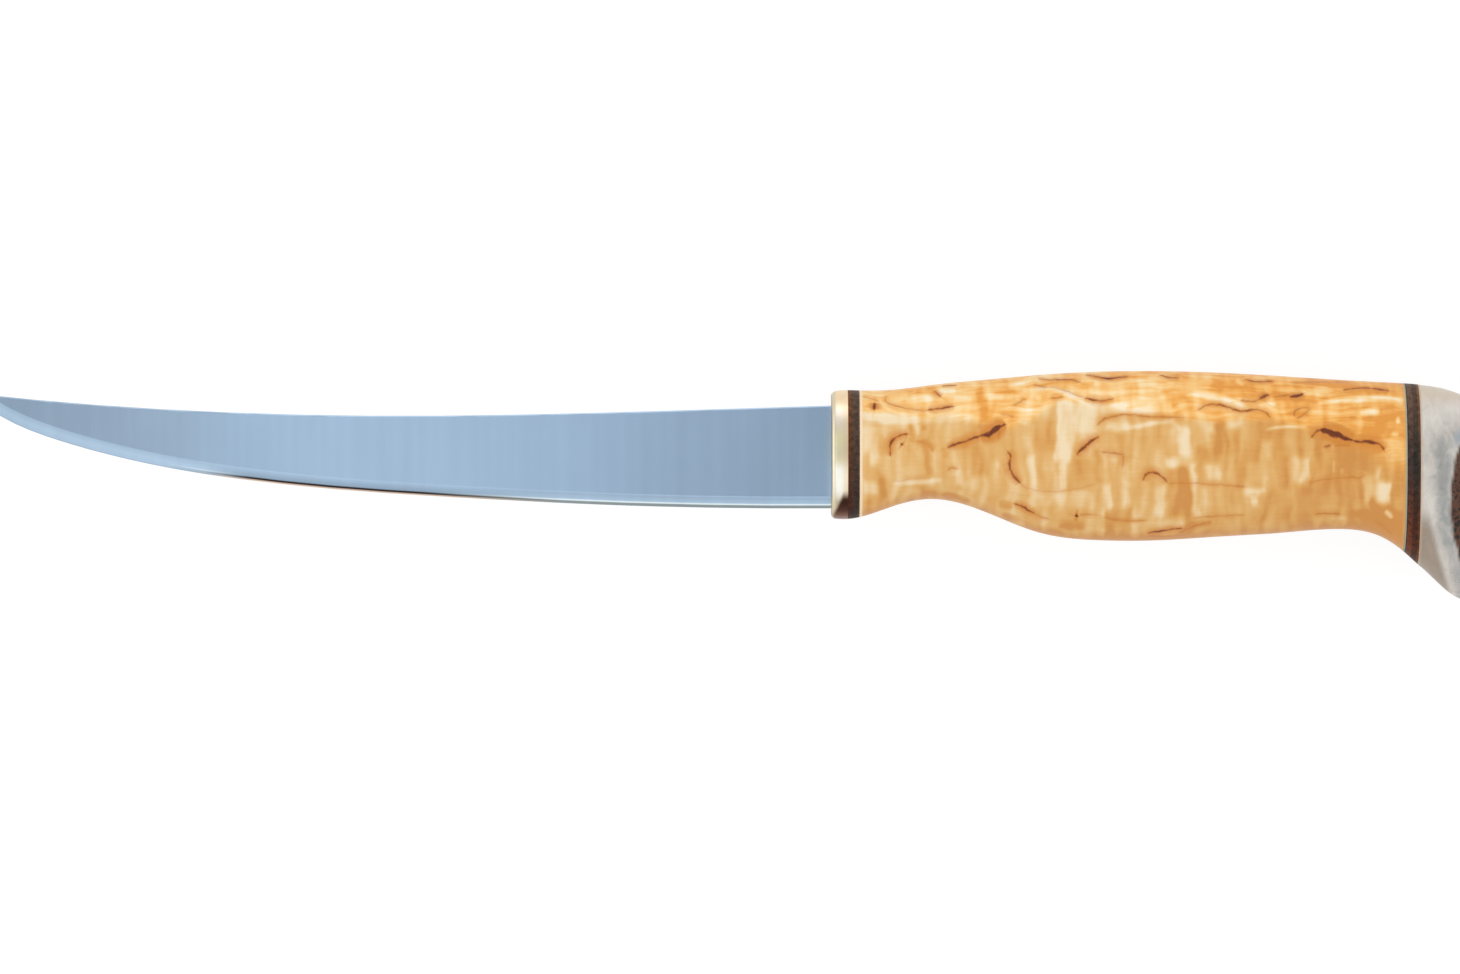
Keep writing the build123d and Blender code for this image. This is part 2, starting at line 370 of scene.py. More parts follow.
round_side = add_node(tree, "MapRange", {
    "Value": place["X"], "From Min": SIDE_BEGINS[0], "From Max": SIDE_BEGINS[1]})
for part, tint in ((turned, linear(BRASS_FRONT_REFLECTION)), (dark_reflection, brown), (corner, linear(BRASS_EDGE_REFLECTION))):
    part = add_node(tree, "Math", (part, round_side), operation="MULTIPLY")
    brass = add_node(tree, "Mix", {0: part, COLOUR_A: brass, COLOUR_B: tint}, data_type="RGBA").outputs[MIXED]
rub = add_node(tree, "TexNoise", {"Vector": millimetres(tree, RUBBED), "Scale": 6.0, "Detail": 3.0})
rough = add_node(tree, "MapRange", {"Value": rub, "To Min": BRASS_ROUGH[0], "To Max": BRASS_ROUGH[1]})
bump = add_node(tree, "Bump", {"Height": rub, "Strength": 0.15, "Distance": 0.01 * MM})
fill(tree, shader, {"Base Color": brass, "Roughness": rough, "Normal": bump, "Metallic": 1.0})
nodes["bolster"].material_slots[0].material = polished_brass


# The washers and liners. Slices of vegetable-tanned leather and of vulcanised fibre, glued in a
# stack at both ends of the grip and sanded flush with it. Their colours by height are painted light and
# shade.
STACK_LOW, STACK_HIGH = -16.0, 16.0
SWAY = 4.0
SPECK = 0.25
PALE_HAIRLINE = "#9FA79E"
HAIRLINE_END = 106.52
HAIRLINE_WIDE = 0.04
MATT_SHINE = 0.15

# Each piece: its finish, how rough, its pale specks, and its colours low down, for the rear ones also
# on the face, and by the spine, which carry painted light and shade
STACK_FINISHES = {
    "front_washer_brown": ("sanded_brown_leather", 0.55, "#8A5A3C", (
        (0.15, "#381408"), (0.85, "#704020"))),
    "front_washer_dark": ("sanded_dark_leather", 0.6, "#8A7264", (
        (0.15, "#302018"), (0.85, "#544034"))),
    "front_liner": ("plum_vulcanised_fibre", 0.5, "#7A6252", (
        (0.15, "#342018"), (0.85, "#604C3C"))),
    "rear_liner_black": ("black_vulcanised_fibre", 0.5, "#5A544E", (
        (0.05, "#382C24"), (0.45, "#343030"), (0.9, "#3C342C"))),
    "rear_washer_red": ("sanded_red_leather", 0.55, "#8A6C5A", (
        (0.05, "#643014"), (0.45, "#3C2C28"), (0.9, "#644C3C"))),
    "rear_washer_dark": ("sanded_black_leather", 0.6, "#74665E", (
        (0.05, "#442010"), (0.45, "#242420"), (0.9, "#544034"))),
    "rear_liner_brown": ("brown_vulcanised_fibre", 0.5, "#8C6A4C", (
        (0.05, "#583014"), (0.45, "#342C24"), (0.9, "#744C30"))),
}

# Matt edges: cut fibres show as pale specks in the leather, and the rear stack's first liner
# carries a pale hairline at its front
for piece, (name, rough, speck, heights) in STACK_FINISHES.items():
    finish, tree, shader = new_finish(name)
    place = add_node(tree, "SeparateXYZ", (millimetres(tree),)).outputs
    sway = add_node(tree, "TexNoise", {"Vector": millimetres(tree), "Scale": 0.5, "Detail": 2.0})
    # Painted light and shade: each piece's colour by height, with its border swaying
    height = add_node(tree, "Math", (sway, SWAY, place["Y"]), operation="MULTIPLY_ADD")
    height = add_node(tree, "MapRange", {
        "Value": height, "From Min": STACK_LOW + SWAY / 2, "From Max": STACK_HIGH + SWAY / 2})
    base = add_node(tree, "ValToRGB", (height,), heights)
    mottle = add_node(tree, "TexNoise", {
        "Vector": millimetres(tree), "Scale": 1.1, "Detail": 2.0, "Roughness": 0.6})
    mottle = add_node(tree, "MapRange", {
        "Value": mottle, "From Min": 0.35, "From Max": 0.68, "To Min": 0.6, "To Max": 1.35})
    base = add_node(tree, "Mix", {0: 1.0, COLOUR_A: base, COLOUR_B: mottle},
                    data_type="RGBA", blend_type="MULTIPLY").outputs[MIXED]
    fibre = add_node(tree, "TexNoise", {
        "Vector": millimetres(tree, (1.4, 1, 1)), "Scale": 1 / SPECK, "Detail": 3.0, "Roughness": 0.7})
    specks = add_node(tree, "MapRange", {
        "Value": fibre, "From Min": 0.54, "From Max": 0.8, "To Max": 0.5})
    colour = add_node(tree, "Mix", {0: specks, COLOUR_A: base, COLOUR_B: linear(speck)},
                      data_type="RGBA").outputs[MIXED]
    if piece == "rear_liner_black":
        hairline = add_node(tree, "MapRange", {
            "Value": place["X"], "From Min": HAIRLINE_END + HAIRLINE_WIDE, "From Max": HAIRLINE_END})
        colour = add_node(tree, "Mix", {0: hairline, COLOUR_A: colour, COLOUR_B: linear(PALE_HAIRLINE)},
                          data_type="RGBA").outputs[MIXED]
    bump = add_node(tree, "Bump", {"Height": fibre, "Strength": 0.5, "Distance": 0.05 * MM})
    fill(tree, shader, {
        "Base Color": colour, "Roughness": rough, "Specular IOR Level": MATT_SHINE, "Normal": bump})
    nodes[piece].material_slots[0].material = finish


# The grip. One block of curly birch, bored for the tang, shaped with a hollow for the forefinger
# and a swell for the palm, sanded fine and oiled. Its crossed fibres stand in pale and tan blocks,
# its growth layers flow in honey bands along the spine, and brown flecks run through both.
GRIP_RINGS = 358
GRIP_ROUND = 260

# How often the laid mesh is evened, except within its rim, how far off the ends its rays stay, how
# far from the tang they start, and how far the figure is shifted on the under side
GRIP_SMOOTHINGS = 6
RIM = 0.2
HAIR = 0.01
INSIDE = 7.0
UNDER_SHIFT = 11.0

# How far a fleck's width and its distance are kept, the gap between two flecks of a layer, and the
# distance that stands for none near by
FLECK_LAYERS = 4
FLECK_REACH, FLECK_MARGIN, FLECK_APART, FAR = 2.2, 3.2, 3.7, 9.0

# The flecks of the side that doesn't show: how many, between which places behind the bolster's
# front they start and stay, and between which angles from the spine, in half turns
FLECKS_ELSEWHERE = 95
FLECKS_START, FLECKS_STAY, FLECKS_ROUND = (6.5, 103.0), (6.0, 106.0), (-0.95, 0.0)

# Their points, the steps between them, their half widths and darkness, and how much they slope,
# bend and shake, in radians for each millimetre or step
FLECK_POINTS, FLECK_STEPS, FLECK_WIDTHS, FLECK_DARKNESS = (3, 6), (0.8, 2.4), (0.16, 0.34), (0.35, 1.0)
FLECK_SLOPE, FLECK_BEND, FLECK_SHAKE = 0.012, 0.006, 0.02

# Flecks on the side that faces up: half width, darkness, and points behind the bolster's front
# and above the tang as seen from over the knife, in millimetres
FLECKS = (
    (0.38, 1.0, ((8.1, 10.1), (8.1, 9.5), (8.0, 8.8))),
    (0.2, 0.5, ((10.1, 11.3), (10.2, 10.1), (12.1, 9.5), (14.7, 8.9), (17.0, 8.6), (18.6, 8.9))),
    (0.26, 0.85, ((17.9, 8.8), (19.7, 9.0), (21.4, 9.2), (22.9, 9.5))),
    (0.26, 0.8, ((19.1, 12.3), (19.7, 11.7), (20.5, 11.2))),
    (0.26, 0.85, ((20.6, 13.2), (21.9, 13.3), (23.4, 13.4))),
    (0.34, 0.85, ((14.4, 4.2), (13.4, 4.2), (11.9, 3.7), (11.0, 2.7), (10.9, 1.5), (11.1, 0.2))),
    (0.34, 0.85, ((13.0, 2.5), (13.4, 2.2))),
    (0.22, 0.3, ((16.0, 2.9), (18.2, 2.4), (19.0, 1.1))),
    (0.32, 0.9, ((21.6, 1.7), (23.4, 2.5), (25.0, 2.9), (26.5, 3.7), (28.5, 4.0))),
    (0.58, 0.95, ((27.7, 3.9), (29.4, 4.1), (30.5, 5.1), (31.4, 5.7), (32.5, 6.1))),
    (0.22, 0.5, ((31.1, 5.4), (31.5, 4.7), (30.9, 3.2))),
    (0.18, 0.35, ((31.6, 8.1), (32.7, 7.9), (34.0, 7.4))),
    (0.32, 0.85, ((32.8, 1.1), (33.6, 0.0), (33.1, -1.5), (33.4, -2.7), (34.4, -4.0),
        (35.2, -5.0))),
    (0.18, 0.4, ((35.2, -5.0), (35.9, -5.6), (36.6, -5.8))),
    (0.32, 0.9, ((34.0, -8.7), (35.2, -9.0), (36.5, -9.8), (37.9, -10.6))),
    (0.18, 0.55, ((37.6, -10.5), (39.1, -11.2), (40.5, -11.5))),
    (0.22, 0.6, ((37.6, 13.5), (38.9, 13.2), (40.2, 13.0))),
    (0.18, 0.4, ((40.2, 13.0), (41.3, 13.0), (43.3, 12.5), (44.5, 11.9), (46.1, 11.3),
        (47.4, 11.0))),
    (0.28, 0.8, ((38.6, 14.6), (40.4, 14.3), (42.9, 14.4), (44.8, 14.4), (46.3, 13.9))),
    (0.34, 0.95, ((47.3, 15.3), (49.5, 14.9), (51.1, 14.6), (53.2, 14.7), (55.2, 15.0))),
    (0.3, 0.75, ((47.2, 11.0), (48.5, 10.7), (49.8, 10.4), (51.1, 10.4), (52.6, 10.9))),
    (0.24, 0.5, ((49.5, 6.0), (50.5, 6.9), (52.5, 7.6), (54.9, 8.0))),
    (0.34, 0.85, ((45.7, 0.3), (46.3, 1.1), (47.1, 1.9), (48.4, 3.0), (49.9, 3.9))),
    (0.22, 0.55, ((50.4, 0.9), (52.8, 0.7), (54.5, 0.4))),
    (0.22, 0.5, ((54.3, 0.4), (54.4, -0.6), (54.2, -1.9))),
    (0.42, 0.95, ((45.3, -10.9), (46.0, -11.0))),
    (0.2, 0.4, ((46.1, -10.8), (47.6, -10.6), (49.5, -10.9))),
    (0.24, 0.5, ((40.9, 10.9), (42.0, 11.0), (43.2, 11.2))),
    (0.22, 0.4, ((33.9, 9.5), (35.2, 10.3), (36.3, 10.9))),
    (0.3, 0.75, ((61.2, 15.3), (62.3, 14.8), (63.6, 14.7), (64.9, 14.7))),
    (0.3, 0.8, ((77.0, 14.5), (78.7, 14.0), (80.4, 14.0), (82.2, 14.2))),
    (0.28, 0.5, ((85.4, 13.9), (89.3, 13.9), (93.4, 14.0), (97.5, 13.9))),
    (0.28, 0.75, ((95.2, 12.4), (96.7, 12.7), (98.8, 12.9), (100.6, 12.8))),
    (0.32, 0.85, ((100.6, 12.8), (102.1, 12.6), (103.8, 12.3))),
    (0.24, 0.65, ((76.1, 10.6), (77.7, 10.3), (79.2, 10.5), (80.2, 11.0))),
    (0.34, 0.85, ((79.6, 10.8), (80.5, 11.3), (81.5, 11.6))),
    (0.22, 0.65, ((82.4, 11.1), (83.9, 11.4), (85.4, 11.6))),
    (0.36, 0.95, ((85.2, 11.2), (86.7, 11.3), (87.9, 11.8))),
    (0.28, 0.7, ((68.2, 8.8), (69.8, 9.7), (71.2, 9.9), (73.3, 9.5), (75.6, 8.6), (76.9, 8.5),
        (78.5, 8.8), (80.4, 8.6), (81.8, 7.3))),
    (0.2, 0.6, ((86.2, 7.6), (86.1, 8.4), (87.2, 9.1), (89.0, 9.2))),
    (0.2, 0.6, ((89.1, 9.0), (88.0, 7.9), (86.6, 7.2))),
    (0.24, 0.5, ((52.3, 7.7), (54.5, 8.0), (56.4, 7.8), (60.0, 7.4), (63.8, 7.4), (65.7, 7.4))),
    (0.3, 0.75, ((58.0, -4.4), (58.6, -3.2), (59.4, -2.7), (60.9, -3.1), (62.6, -4.7))),
    (0.34, 0.9, ((58.8, -14.2), (61.2, -13.8), (63.4, -13.4), (65.5, -13.2))),
    (0.22, 0.5, ((58.8, -14.7), (61.2, -14.8), (64.2, -14.7))),
    (0.24, 0.45, ((64.9, -14.1), (66.2, -13.3), (68.4, -12.6), (70.7, -12.0))),
    (0.34, 0.8, ((89.3, 3.6), (89.8, 4.2), (90.5, 4.9), (91.6, 5.1))),
    (0.68, 0.95, ((91.1, 5.0), (92.6, 4.7), (94.1, 4.2), (95.6, 3.6), (97.1, 3.0))),
    (0.36, 0.9, ((96.7, 3.1), (98.0, 2.8), (99.4, 2.9), (101.2, 2.8), (102.3, 2.2),
        (102.9, 1.3))),
    (0.34, 0.55, ((91.6, 1.9), (92.3, 2.0), (93.0, 2.2))),
    (0.26, 0.4, ((93.7, 2.1), (95.0, 2.2), (96.5, 2.0))),
    (0.18, 0.3, ((96.4, 7.3), (97.7, 7.3))),
    (0.18, 0.3, ((99.8, 7.4), (101.0, 7.5))),
    (0.2, 0.45, ((89.0, -4.7), (91.1, -4.2), (93.4, -4.0), (96.3, -3.7), (98.4, -3.9),
        (99.5, -3.3))),
    (0.26, 0.5, ((90.0, -10.6), (92.3, -10.5), (94.9, -10.6))),
    (0.2, 0.45, ((101.4, -11.9), (102.9, -13.1), (104.3, -14.4))),
    (0.2, 0.4, ((62.4, -4.8), (64.9, -4.9), (67.3, -4.8), (70.7, -5.1), (73.8, -5.2))),
    (0.2, 0.5, ((73.3, -5.2), (75.3, -5.4), (77.0, -5.5))),
    (0.22, 0.4, ((67.3, -11.5), (69.2, -11.1), (72.7, -11.0), (77.0, -10.8))),
    (0.22, 0.4, ((50.8, -11.2), (53.4, -11.8), (56.0, -11.9), (58.6, -11.8))),
    (0.16, 0.3, ((36.6, -5.8), (39.4, -6.4), (42.6, -6.5), (46.1, -5.8), (49.3, -5.1))),
    (0.14, 0.25, ((11.7, -4.6), (15.3, -4.1), (18.4, -3.9))),
    (0.2, 0.4, ((5.8, 11.3), (7.4, 10.9), (8.9, 10.3))),
    (0.2, 0.35, ((21.6, -2.5), (22.5, -1.9), (23.6, -2.2))),
)

# Soft streaks on the same side: tone from amber at 0 to cream at 1, half width, strength, points
FLOWS = (
    (0.1, 0.4, 0.85, ((9.9, 11.2), (12.0, 11.8), (14.0, 12.3), (17.0, 12.5), (19.9, 13.0))),
    (0.15, 0.3, 0.6, ((5.8, 11.4), (7.6, 11.8), (9.9, 11.9))),
    (0.92, 0.6, 0.88, ((13.8, 10.5), (16.2, 10.6), (19.2, 10.7))),
    (0.35, 0.22, 0.5, ((13.4, 10.8), (15.3, 11.0))),
    (1.0, 0.5, 0.85, ((19.7, 12.2), (21.2, 12.4), (23.2, 12.3))),
    (0.15, 0.5, 0.7, ((19.0, 11.9), (20.3, 11.3), (21.9, 10.0))),
    (0.3, 0.2, 0.6, ((9.2, 9.8), (10.9, 9.0), (13.7, 8.4), (17.0, 8.0), (19.5, 7.8),
        (21.8, 7.3))),
    (1.05, 0.8, 0.92, ((4.8, 7.9), (8.7, 7.3), (12.1, 6.9), (16.8, 6.9))),
    (0.8, 0.6, 0.65, ((14.4, 6.9), (19.2, 6.9), (23.6, 7.4), (26.8, 7.6))),
    (0.9, 0.35, 0.6, ((8.7, 10.8), (9.7, 9.9), (11.0, 8.6), (13.6, 8.0))),
    (0.1, 0.5, 0.85, ((14.5, 6.1), (15.0, 5.4), (15.3, 3.9), (15.6, 3.0))),
    (0.1, 0.5, 0.8, ((17.3, 6.0), (17.4, 4.8))),
    (0.9, 0.4, 0.6, ((16.2, 6.1), (16.2, 3.9))),
    (0.0, 0.9, 0.95, ((27.2, 12.8), (28.1, 11.0), (28.6, 8.7), (28.5, 6.5), (27.5, 5.0))),
    (0.95, 0.55, 0.8, ((22.7, 10.7), (24.6, 10.9), (26.2, 10.6))),
    (0.95, 0.5, 0.75, ((29.2, 10.7), (30.3, 10.9), (32.2, 11.1))),
    (0.2, 1.0, 0.5, ((25.5, 5.4), (27.0, 5.6))),
    (0.1, 0.5, 0.8, ((14.5, 3.4), (15.8, 2.8), (17.7, 2.6), (19.0, 2.0), (18.8, 0.9))),
    (0.2, 0.55, 0.7, ((9.4, 4.3), (9.5, 0.2))),
    (0.0, 0.4, 0.9, ((30.3, 11.9), (32.2, 12.0), (33.9, 12.2), (35.7, 12.5))),
    (0.85, 0.4, 0.75, ((32.9, 13.1), (35.0, 13.5), (37.8, 13.9))),
    (0.15, 0.35, 0.5, ((29.6, 13.5), (33.3, 14.0), (37.0, 14.6))),
    (0.2, 0.3, 0.7, ((33.9, 9.7), (35.2, 10.3), (37.0, 11.3))),
    (0.9, 1.1, 0.8, ((36.6, 9.5), (36.3, 8.0), (35.5, 6.0))),
    (0.9, 0.5, 0.7, ((38.1, 10.8), (39.2, 11.1))),
    (1.05, 0.45, 0.95, ((38.1, 12.6), (39.6, 12.7), (41.3, 12.8), (43.7, 11.9), (45.8, 10.9),
        (47.8, 9.9), (50.4, 9.7), (53.0, 9.9), (55.6, 10.0))),
    (0.8, 1.0, 0.7, ((47.8, 12.6), (51.5, 12.7), (55.6, 12.8))),
    (1.0, 0.5, 0.8, ((48.9, 13.8), (50.2, 13.5))),
    (0.95, 0.8, 0.85, ((49.9, 8.6), (52.6, 9.2), (56.0, 9.3), (59.5, 9.4))),
    (0.15, 0.3, 0.75, ((49.5, 6.1), (50.5, 6.9), (52.5, 7.6), (54.5, 8.0), (56.0, 8.0))),
    (0.3, 0.3, 0.5, ((45.6, 11.3), (47.4, 10.6), (49.7, 10.1), (52.3, 10.2))),
    (0.0, 0.35, 0.8, ((54.1, 15.0), (56.4, 14.8), (59.1, 14.7))),
    (0.15, 0.35, 0.8, ((56.0, 15.5), (59.3, 15.6), (61.9, 15.5), (64.2, 15.2), (66.8, 14.8))),
    (0.9, 0.55, 0.7, ((53.8, 13.9), (57.5, 13.9), (60.8, 13.7))),
    (0.35, 0.3, 0.6, ((55.2, 13.1), (59.0, 13.2))),
    (0.1, 0.35, 0.75, ((61.2, 12.1), (63.4, 12.4), (65.1, 12.6))),
    (0.3, 0.45, 0.7, ((65.1, 12.6), (67.7, 13.1), (70.1, 13.6))),
    (0.12, 0.4, 0.7, ((69.9, 12.3), (71.4, 12.6), (72.7, 12.7), (75.0, 12.5))),
    (0.1, 0.3, 0.7, ((72.7, 12.2), (74.0, 11.5), (75.3, 11.1))),
    (0.95, 0.65, 0.85, ((66.0, 11.4), (68.6, 11.5), (70.5, 11.3), (72.5, 10.8), (75.0, 10.0),
        (77.2, 9.9))),
    (0.95, 0.8, 0.85, ((53.8, 10.1), (56.7, 10.3), (59.7, 10.5), (62.3, 11.1))),
    (0.9, 0.8, 0.8, ((53.8, 8.9), (58.4, 8.8), (61.2, 9.1))),
    (0.0, 0.55, 0.9, ((63.8, 10.0), (64.1, 8.9))),
    (0.2, 0.35, 0.7, ((53.8, 7.9), (56.4, 7.8), (59.9, 7.4), (63.8, 7.4), (66.0, 7.3))),
    (1.0, 0.45, 0.9, ((53.8, 5.5), (57.1, 5.6), (60.1, 6.4), (63.8, 6.7))),
    (0.25, 0.7, 0.6, ((69.8, 8.6), (71.6, 8.4), (73.1, 7.8))),
    (0.1, 0.5, 0.8, ((76.6, 7.1), (77.9, 7.5), (79.4, 7.3))),
    (0.9, 0.4, 0.7, ((75.3, 14.3), (76.1, 13.8), (76.8, 13.4))),
    (0.95, 0.4, 0.8, ((79.4, 9.6), (81.3, 9.7), (82.8, 9.8))),
    (0.25, 0.35, 0.7, ((74.6, 11.1), (76.6, 10.4), (78.7, 10.2))),
    (0.05, 0.4, 0.85, ((85.7, 14.0), (89.5, 13.9), (93.6, 13.9), (97.7, 13.8))),
    (0.0, 0.3, 0.8, ((82.2, 13.4), (84.4, 13.1), (86.9, 13.0), (88.9, 12.3))),
    (0.05, 0.4, 0.7, ((80.5, 14.4), (82.4, 14.0))),
    (0.1, 0.4, 0.8, ((103.2, 12.3), (105.1, 12.2), (106.8, 12.3))),
    (0.7, 0.6, 0.6, ((83.0, 12.4), (88.0, 11.8), (94.0, 11.8), (100.0, 11.9))),
    (0.85, 0.4, 0.6, ((89.5, 12.7), (91.9, 12.6), (93.6, 12.3))),
    (0.7, 0.9, 0.6, ((88.6, 8.0), (93.0, 8.5), (97.5, 8.2))),
    (1.05, 0.5, 0.9, ((90.6, 10.0), (92.8, 10.4), (95.8, 10.5), (98.8, 10.8), (102.1, 10.9),
        (104.7, 10.8), (106.6, 10.1))),
    (0.1, 0.35, 0.8, ((97.3, 9.5), (100.3, 9.8), (102.7, 9.6), (104.9, 9.0))),
    (0.0, 0.5, 0.75, ((103.4, 9.1), (105.3, 8.8), (106.4, 8.9))),
    (0.95, 0.6, 0.8, ((98.4, 8.1), (100.3, 8.5), (102.1, 8.4))),
    (1.0, 0.35, 0.9, ((105.4, 7.6), (105.5, 6.1))),
    (0.85, 0.35, 0.7, ((104.2, 4.3), (105.6, 4.1))),
    (0.1, 0.8, 0.7, ((103.2, 8.2), (103.4, 6.1), (103.0, 3.5))),
    (0.1, 0.6, 0.7, ((96.0, 5.8), (98.0, 6.1), (101.0, 6.3))),
    (0.95, 0.3, 0.9, ((80.9, 5.1), (82.8, 5.5), (85.4, 5.7), (88.5, 5.5))),
    (0.2, 0.4, 0.6, ((88.2, 10.7), (89.5, 11.2), (90.2, 11.3))),
    (0.0, 0.5, 0.8, ((20.5, -6.9), (23.1, -7.3), (25.9, -8.3))),
    (0.9, 0.5, 0.9, ((11.5, -4.9), (15.3, -4.7), (18.0, -4.5), (20.8, -4.2))),
    (0.15, 0.55, 0.6, ((20.5, 1.7), (21.6, 0.9), (21.0, -0.2))),
    (0.1, 0.3, 0.6, ((21.6, -2.4), (22.5, -1.9), (23.6, -2.2))),
    (-0.05, 0.7, 0.8, ((31.2, -8.6), (32.4, -8.9), (33.9, -9.3))),
    (0.1, 0.5, 0.8, ((31.8, -10.6), (33.7, -11.2), (35.5, -11.7))),
    (-0.1, 0.45, 0.8, ((42.2, -12.8), (44.5, -13.1), (47.4, -13.2))),
    (-0.1, 0.35, 0.7, ((50.8, -11.2), (53.4, -11.7), (56.0, -11.9), (58.6, -11.8))),
    (-0.15, 0.7, 0.7, ((64.7, -14.3), (66.0, -13.4), (68.1, -12.6), (70.9, -12.0))),
    (0.6, 0.45, 0.7, ((55.6, -12.5), (59.3, -12.4), (62.7, -12.2), (65.1, -12.0))),
    (-0.25, 0.7, 0.85, ((96.5, -10.4), (98.4, -10.6), (100.4, -10.6))),
    (-0.1, 0.9, 0.8, ((97.3, -11.9), (99.9, -12.8), (102.1, -13.8))),
    (0.55, 0.3, 0.6, ((92.8, -11.4), (96.0, -11.4))),
    (1.05, 0.45, 0.9, ((103.0, -10.0), (103.8, -10.6), (104.4, -11.5))),
    (0.7, 0.2, 0.6, ((93.5, -0.6), (93.5, -3.0))),
    (0.7, 0.2, 0.6, ((95.0, -2.0), (95.0, -3.3))),
)

# Pale and tan blocks on the same side: start and end behind the bolster's front, bottom and top
# above the tang, in millimetres, and tone from tan at 0 to cream at 1
BLOCKS = (
    (87.0, 100.0, -11.5, -1.0, 0.15),
    (25.7, 31.4, -3.5, 6.1, 0.2), (37.6, 41.9, 6.9, 10.2, 0.48), (37.6, 41.9, 0.9, 6.9, 0.3),
    (41.9, 45.2, -0.6, 10.6, 0.95), (42.6, 43.9, -6.5, -0.6, 0.8), (45.2, 49.1, 4.3, 9.9, 0.82),
    (5.8, 8.7, 0.9, 5.6, 0.75), (6.0, 7.3, -4.5, 0.9, 0.5), (7.3, 9.3, -1.7, 0.9, 0.8),
    (6.0, 8.7, -6.9, -4.8, 0.85), (8.9, 10.4, -8.6, -3.2, 0.15), (6.0, 10.2, -11.0, -7.6, 0.3),
    (10.0, 16.6, -3.7, 1.1, 0.54), (17.3, 18.8, -3.9, 3.2, 0.15), (19.0, 25.5, -3.2, 0.9, 0.5),
    (23.2, 24.6, -5.4, -2.4, 0.8), (25.9, 31.1, -6.5, -3.5, 0.6), (16.6, 19.5, -6.9, -5.4, 0.1),
    (29.6, 31.4, -7.1, -0.6, 0.6), (34.0, 36.3, -4.8, 0.4, 0.35), (36.6, 38.1, -6.0, 0.7, 0.87),
    (38.3, 41.5, -6.1, -2.4, 0.35), (44.3, 48.7, -6.1, -0.7, 0.25), (48.7, 50.2, -5.2, 1.3, 0.08),
    (36.3, 49.3, -9.5, -6.5, 0.6), (41.1, 44.1, -8.4, -6.7, 0.78), (50.6, 52.1, -11.5, -5.4, 0.9),
    (49.1, 50.6, -8.7, -5.8, 0.35), (54.5, 56.0, -5.6, -0.6, 0.75), (36.3, 43.3, -11.7, -9.3, 0.4),
    (42.6, 47.2, -13.4, -11.9, 0.0), (47.8, 51.1, -13.6, -11.9, 0.45),
    (51.1, 56.0, -14.7, -9.9, 0.1), (53.8, 55.4, -9.3, -5.8, 0.65),
    (60.1, 62.3, -11.0, -5.4, 0.87), (62.5, 67.1, -11.5, -1.9, 0.08),
    (64.8, 66.9, -6.0, -1.8, -0.12), (67.2, 68.7, -11.5, -5.5, 0.75),
    (65.8, 67.0, -9.3, -4.7, -0.08), (67.0, 68.1, -6.1, -0.9, 0.95), (62.3, 65.1, -1.9, 0.0, 0.98),
    (67.2, 70.4, 1.5, 6.6, 0.64), (64.5, 66.8, 0.2, 6.0, 0.9), (68.6, 69.8, -3.9, -2.0, 0.35),
    (69.6, 72.4, -4.1, -0.9, 0.8),
    (72.4, 76.6, -8.4, -5.4, 0.3), (75.3, 76.8, -5.4, 0.7, 0.15), (67.5, 72.4, -9.5, -5.6, 0.55),
    (77.0, 81.1, -6.1, -1.1, 0.55), (78.3, 80.2, -6.1, -4.5, 0.3), (76.8, 80.7, -7.1, -6.1, 0.95),
    (78.3, 79.6, -8.9, -7.1, 0.85), (71.2, 81.7, -13.9, -11.5, 0.3), (71.1, 72.9, 0.4, 6.0, 0.0),
    (69.0, 71.2, 4.5, 6.5, 0.75), (73.5, 76.1, 5.4, 6.7, 0.88), (74.8, 77.0, 0.4, 5.0, 0.25),
    (79.8, 82.0, -0.4, 3.2, 0.68), (82.8, 85.0, -6.1, 0.4, 0.05), (85.4, 89.1, -5.2, -0.4, 0.68),
    (79.6, 80.7, -7.4, -6.3, 0.92), (90.2, 99.3, -3.9, 1.3, 0.1), (88.7, 96.9, -6.9, -4.1, 0.14),
    (97.1, 98.8, -8.4, -3.9, 0.0), (99.0, 101.0, -9.3, -3.5, 0.52),
    (100.3, 101.9, -10.0, -7.8, -0.12), (101.4, 104.2, -8.4, -4.3, 0.88),
    (101.4, 102.3, -4.5, -2.0, 0.7), (102.9, 106.6, -4.8, 0.6, 0.14),
    (104.7, 106.6, -10.4, -8.0, 0.3), (96.7, 102.1, -14.3, -11.0, 0.0),
    (79.8, 90.0, -12.8, -6.9, 0.2), (51.1, 55.6, 4.8, 6.5, 0.85), (49.8, 55.6, 0.9, 4.8, 0.3),
    (57.3, 64.4, 0.0, 3.9, 0.42), (31.4, 36.3, -8.0, -5.4, 0.5), (10.6, 16.6, -8.0, -5.4, 0.5),
)

# Where the honey band along the spine begins: behind the bolster's front, and above the tang
HONEY_BORDER = (
    (5.2, 8.0), (12.8, 7.6), (22.1, 7.4), (28.6, 6.0), (31.4, 5.4), (37.0, 6.9), (41.9, 9.9), (48.2, 9.7),
    (52.0, 9.2), (55.6, 8.4), (61.2, 7.6), (65.8, 7.1), (74.2, 6.9), (79.8, 6.9), (87.2, 6.0), (92.8, 5.0),
    (96.5, 3.2), (106.6, -2.4),
)

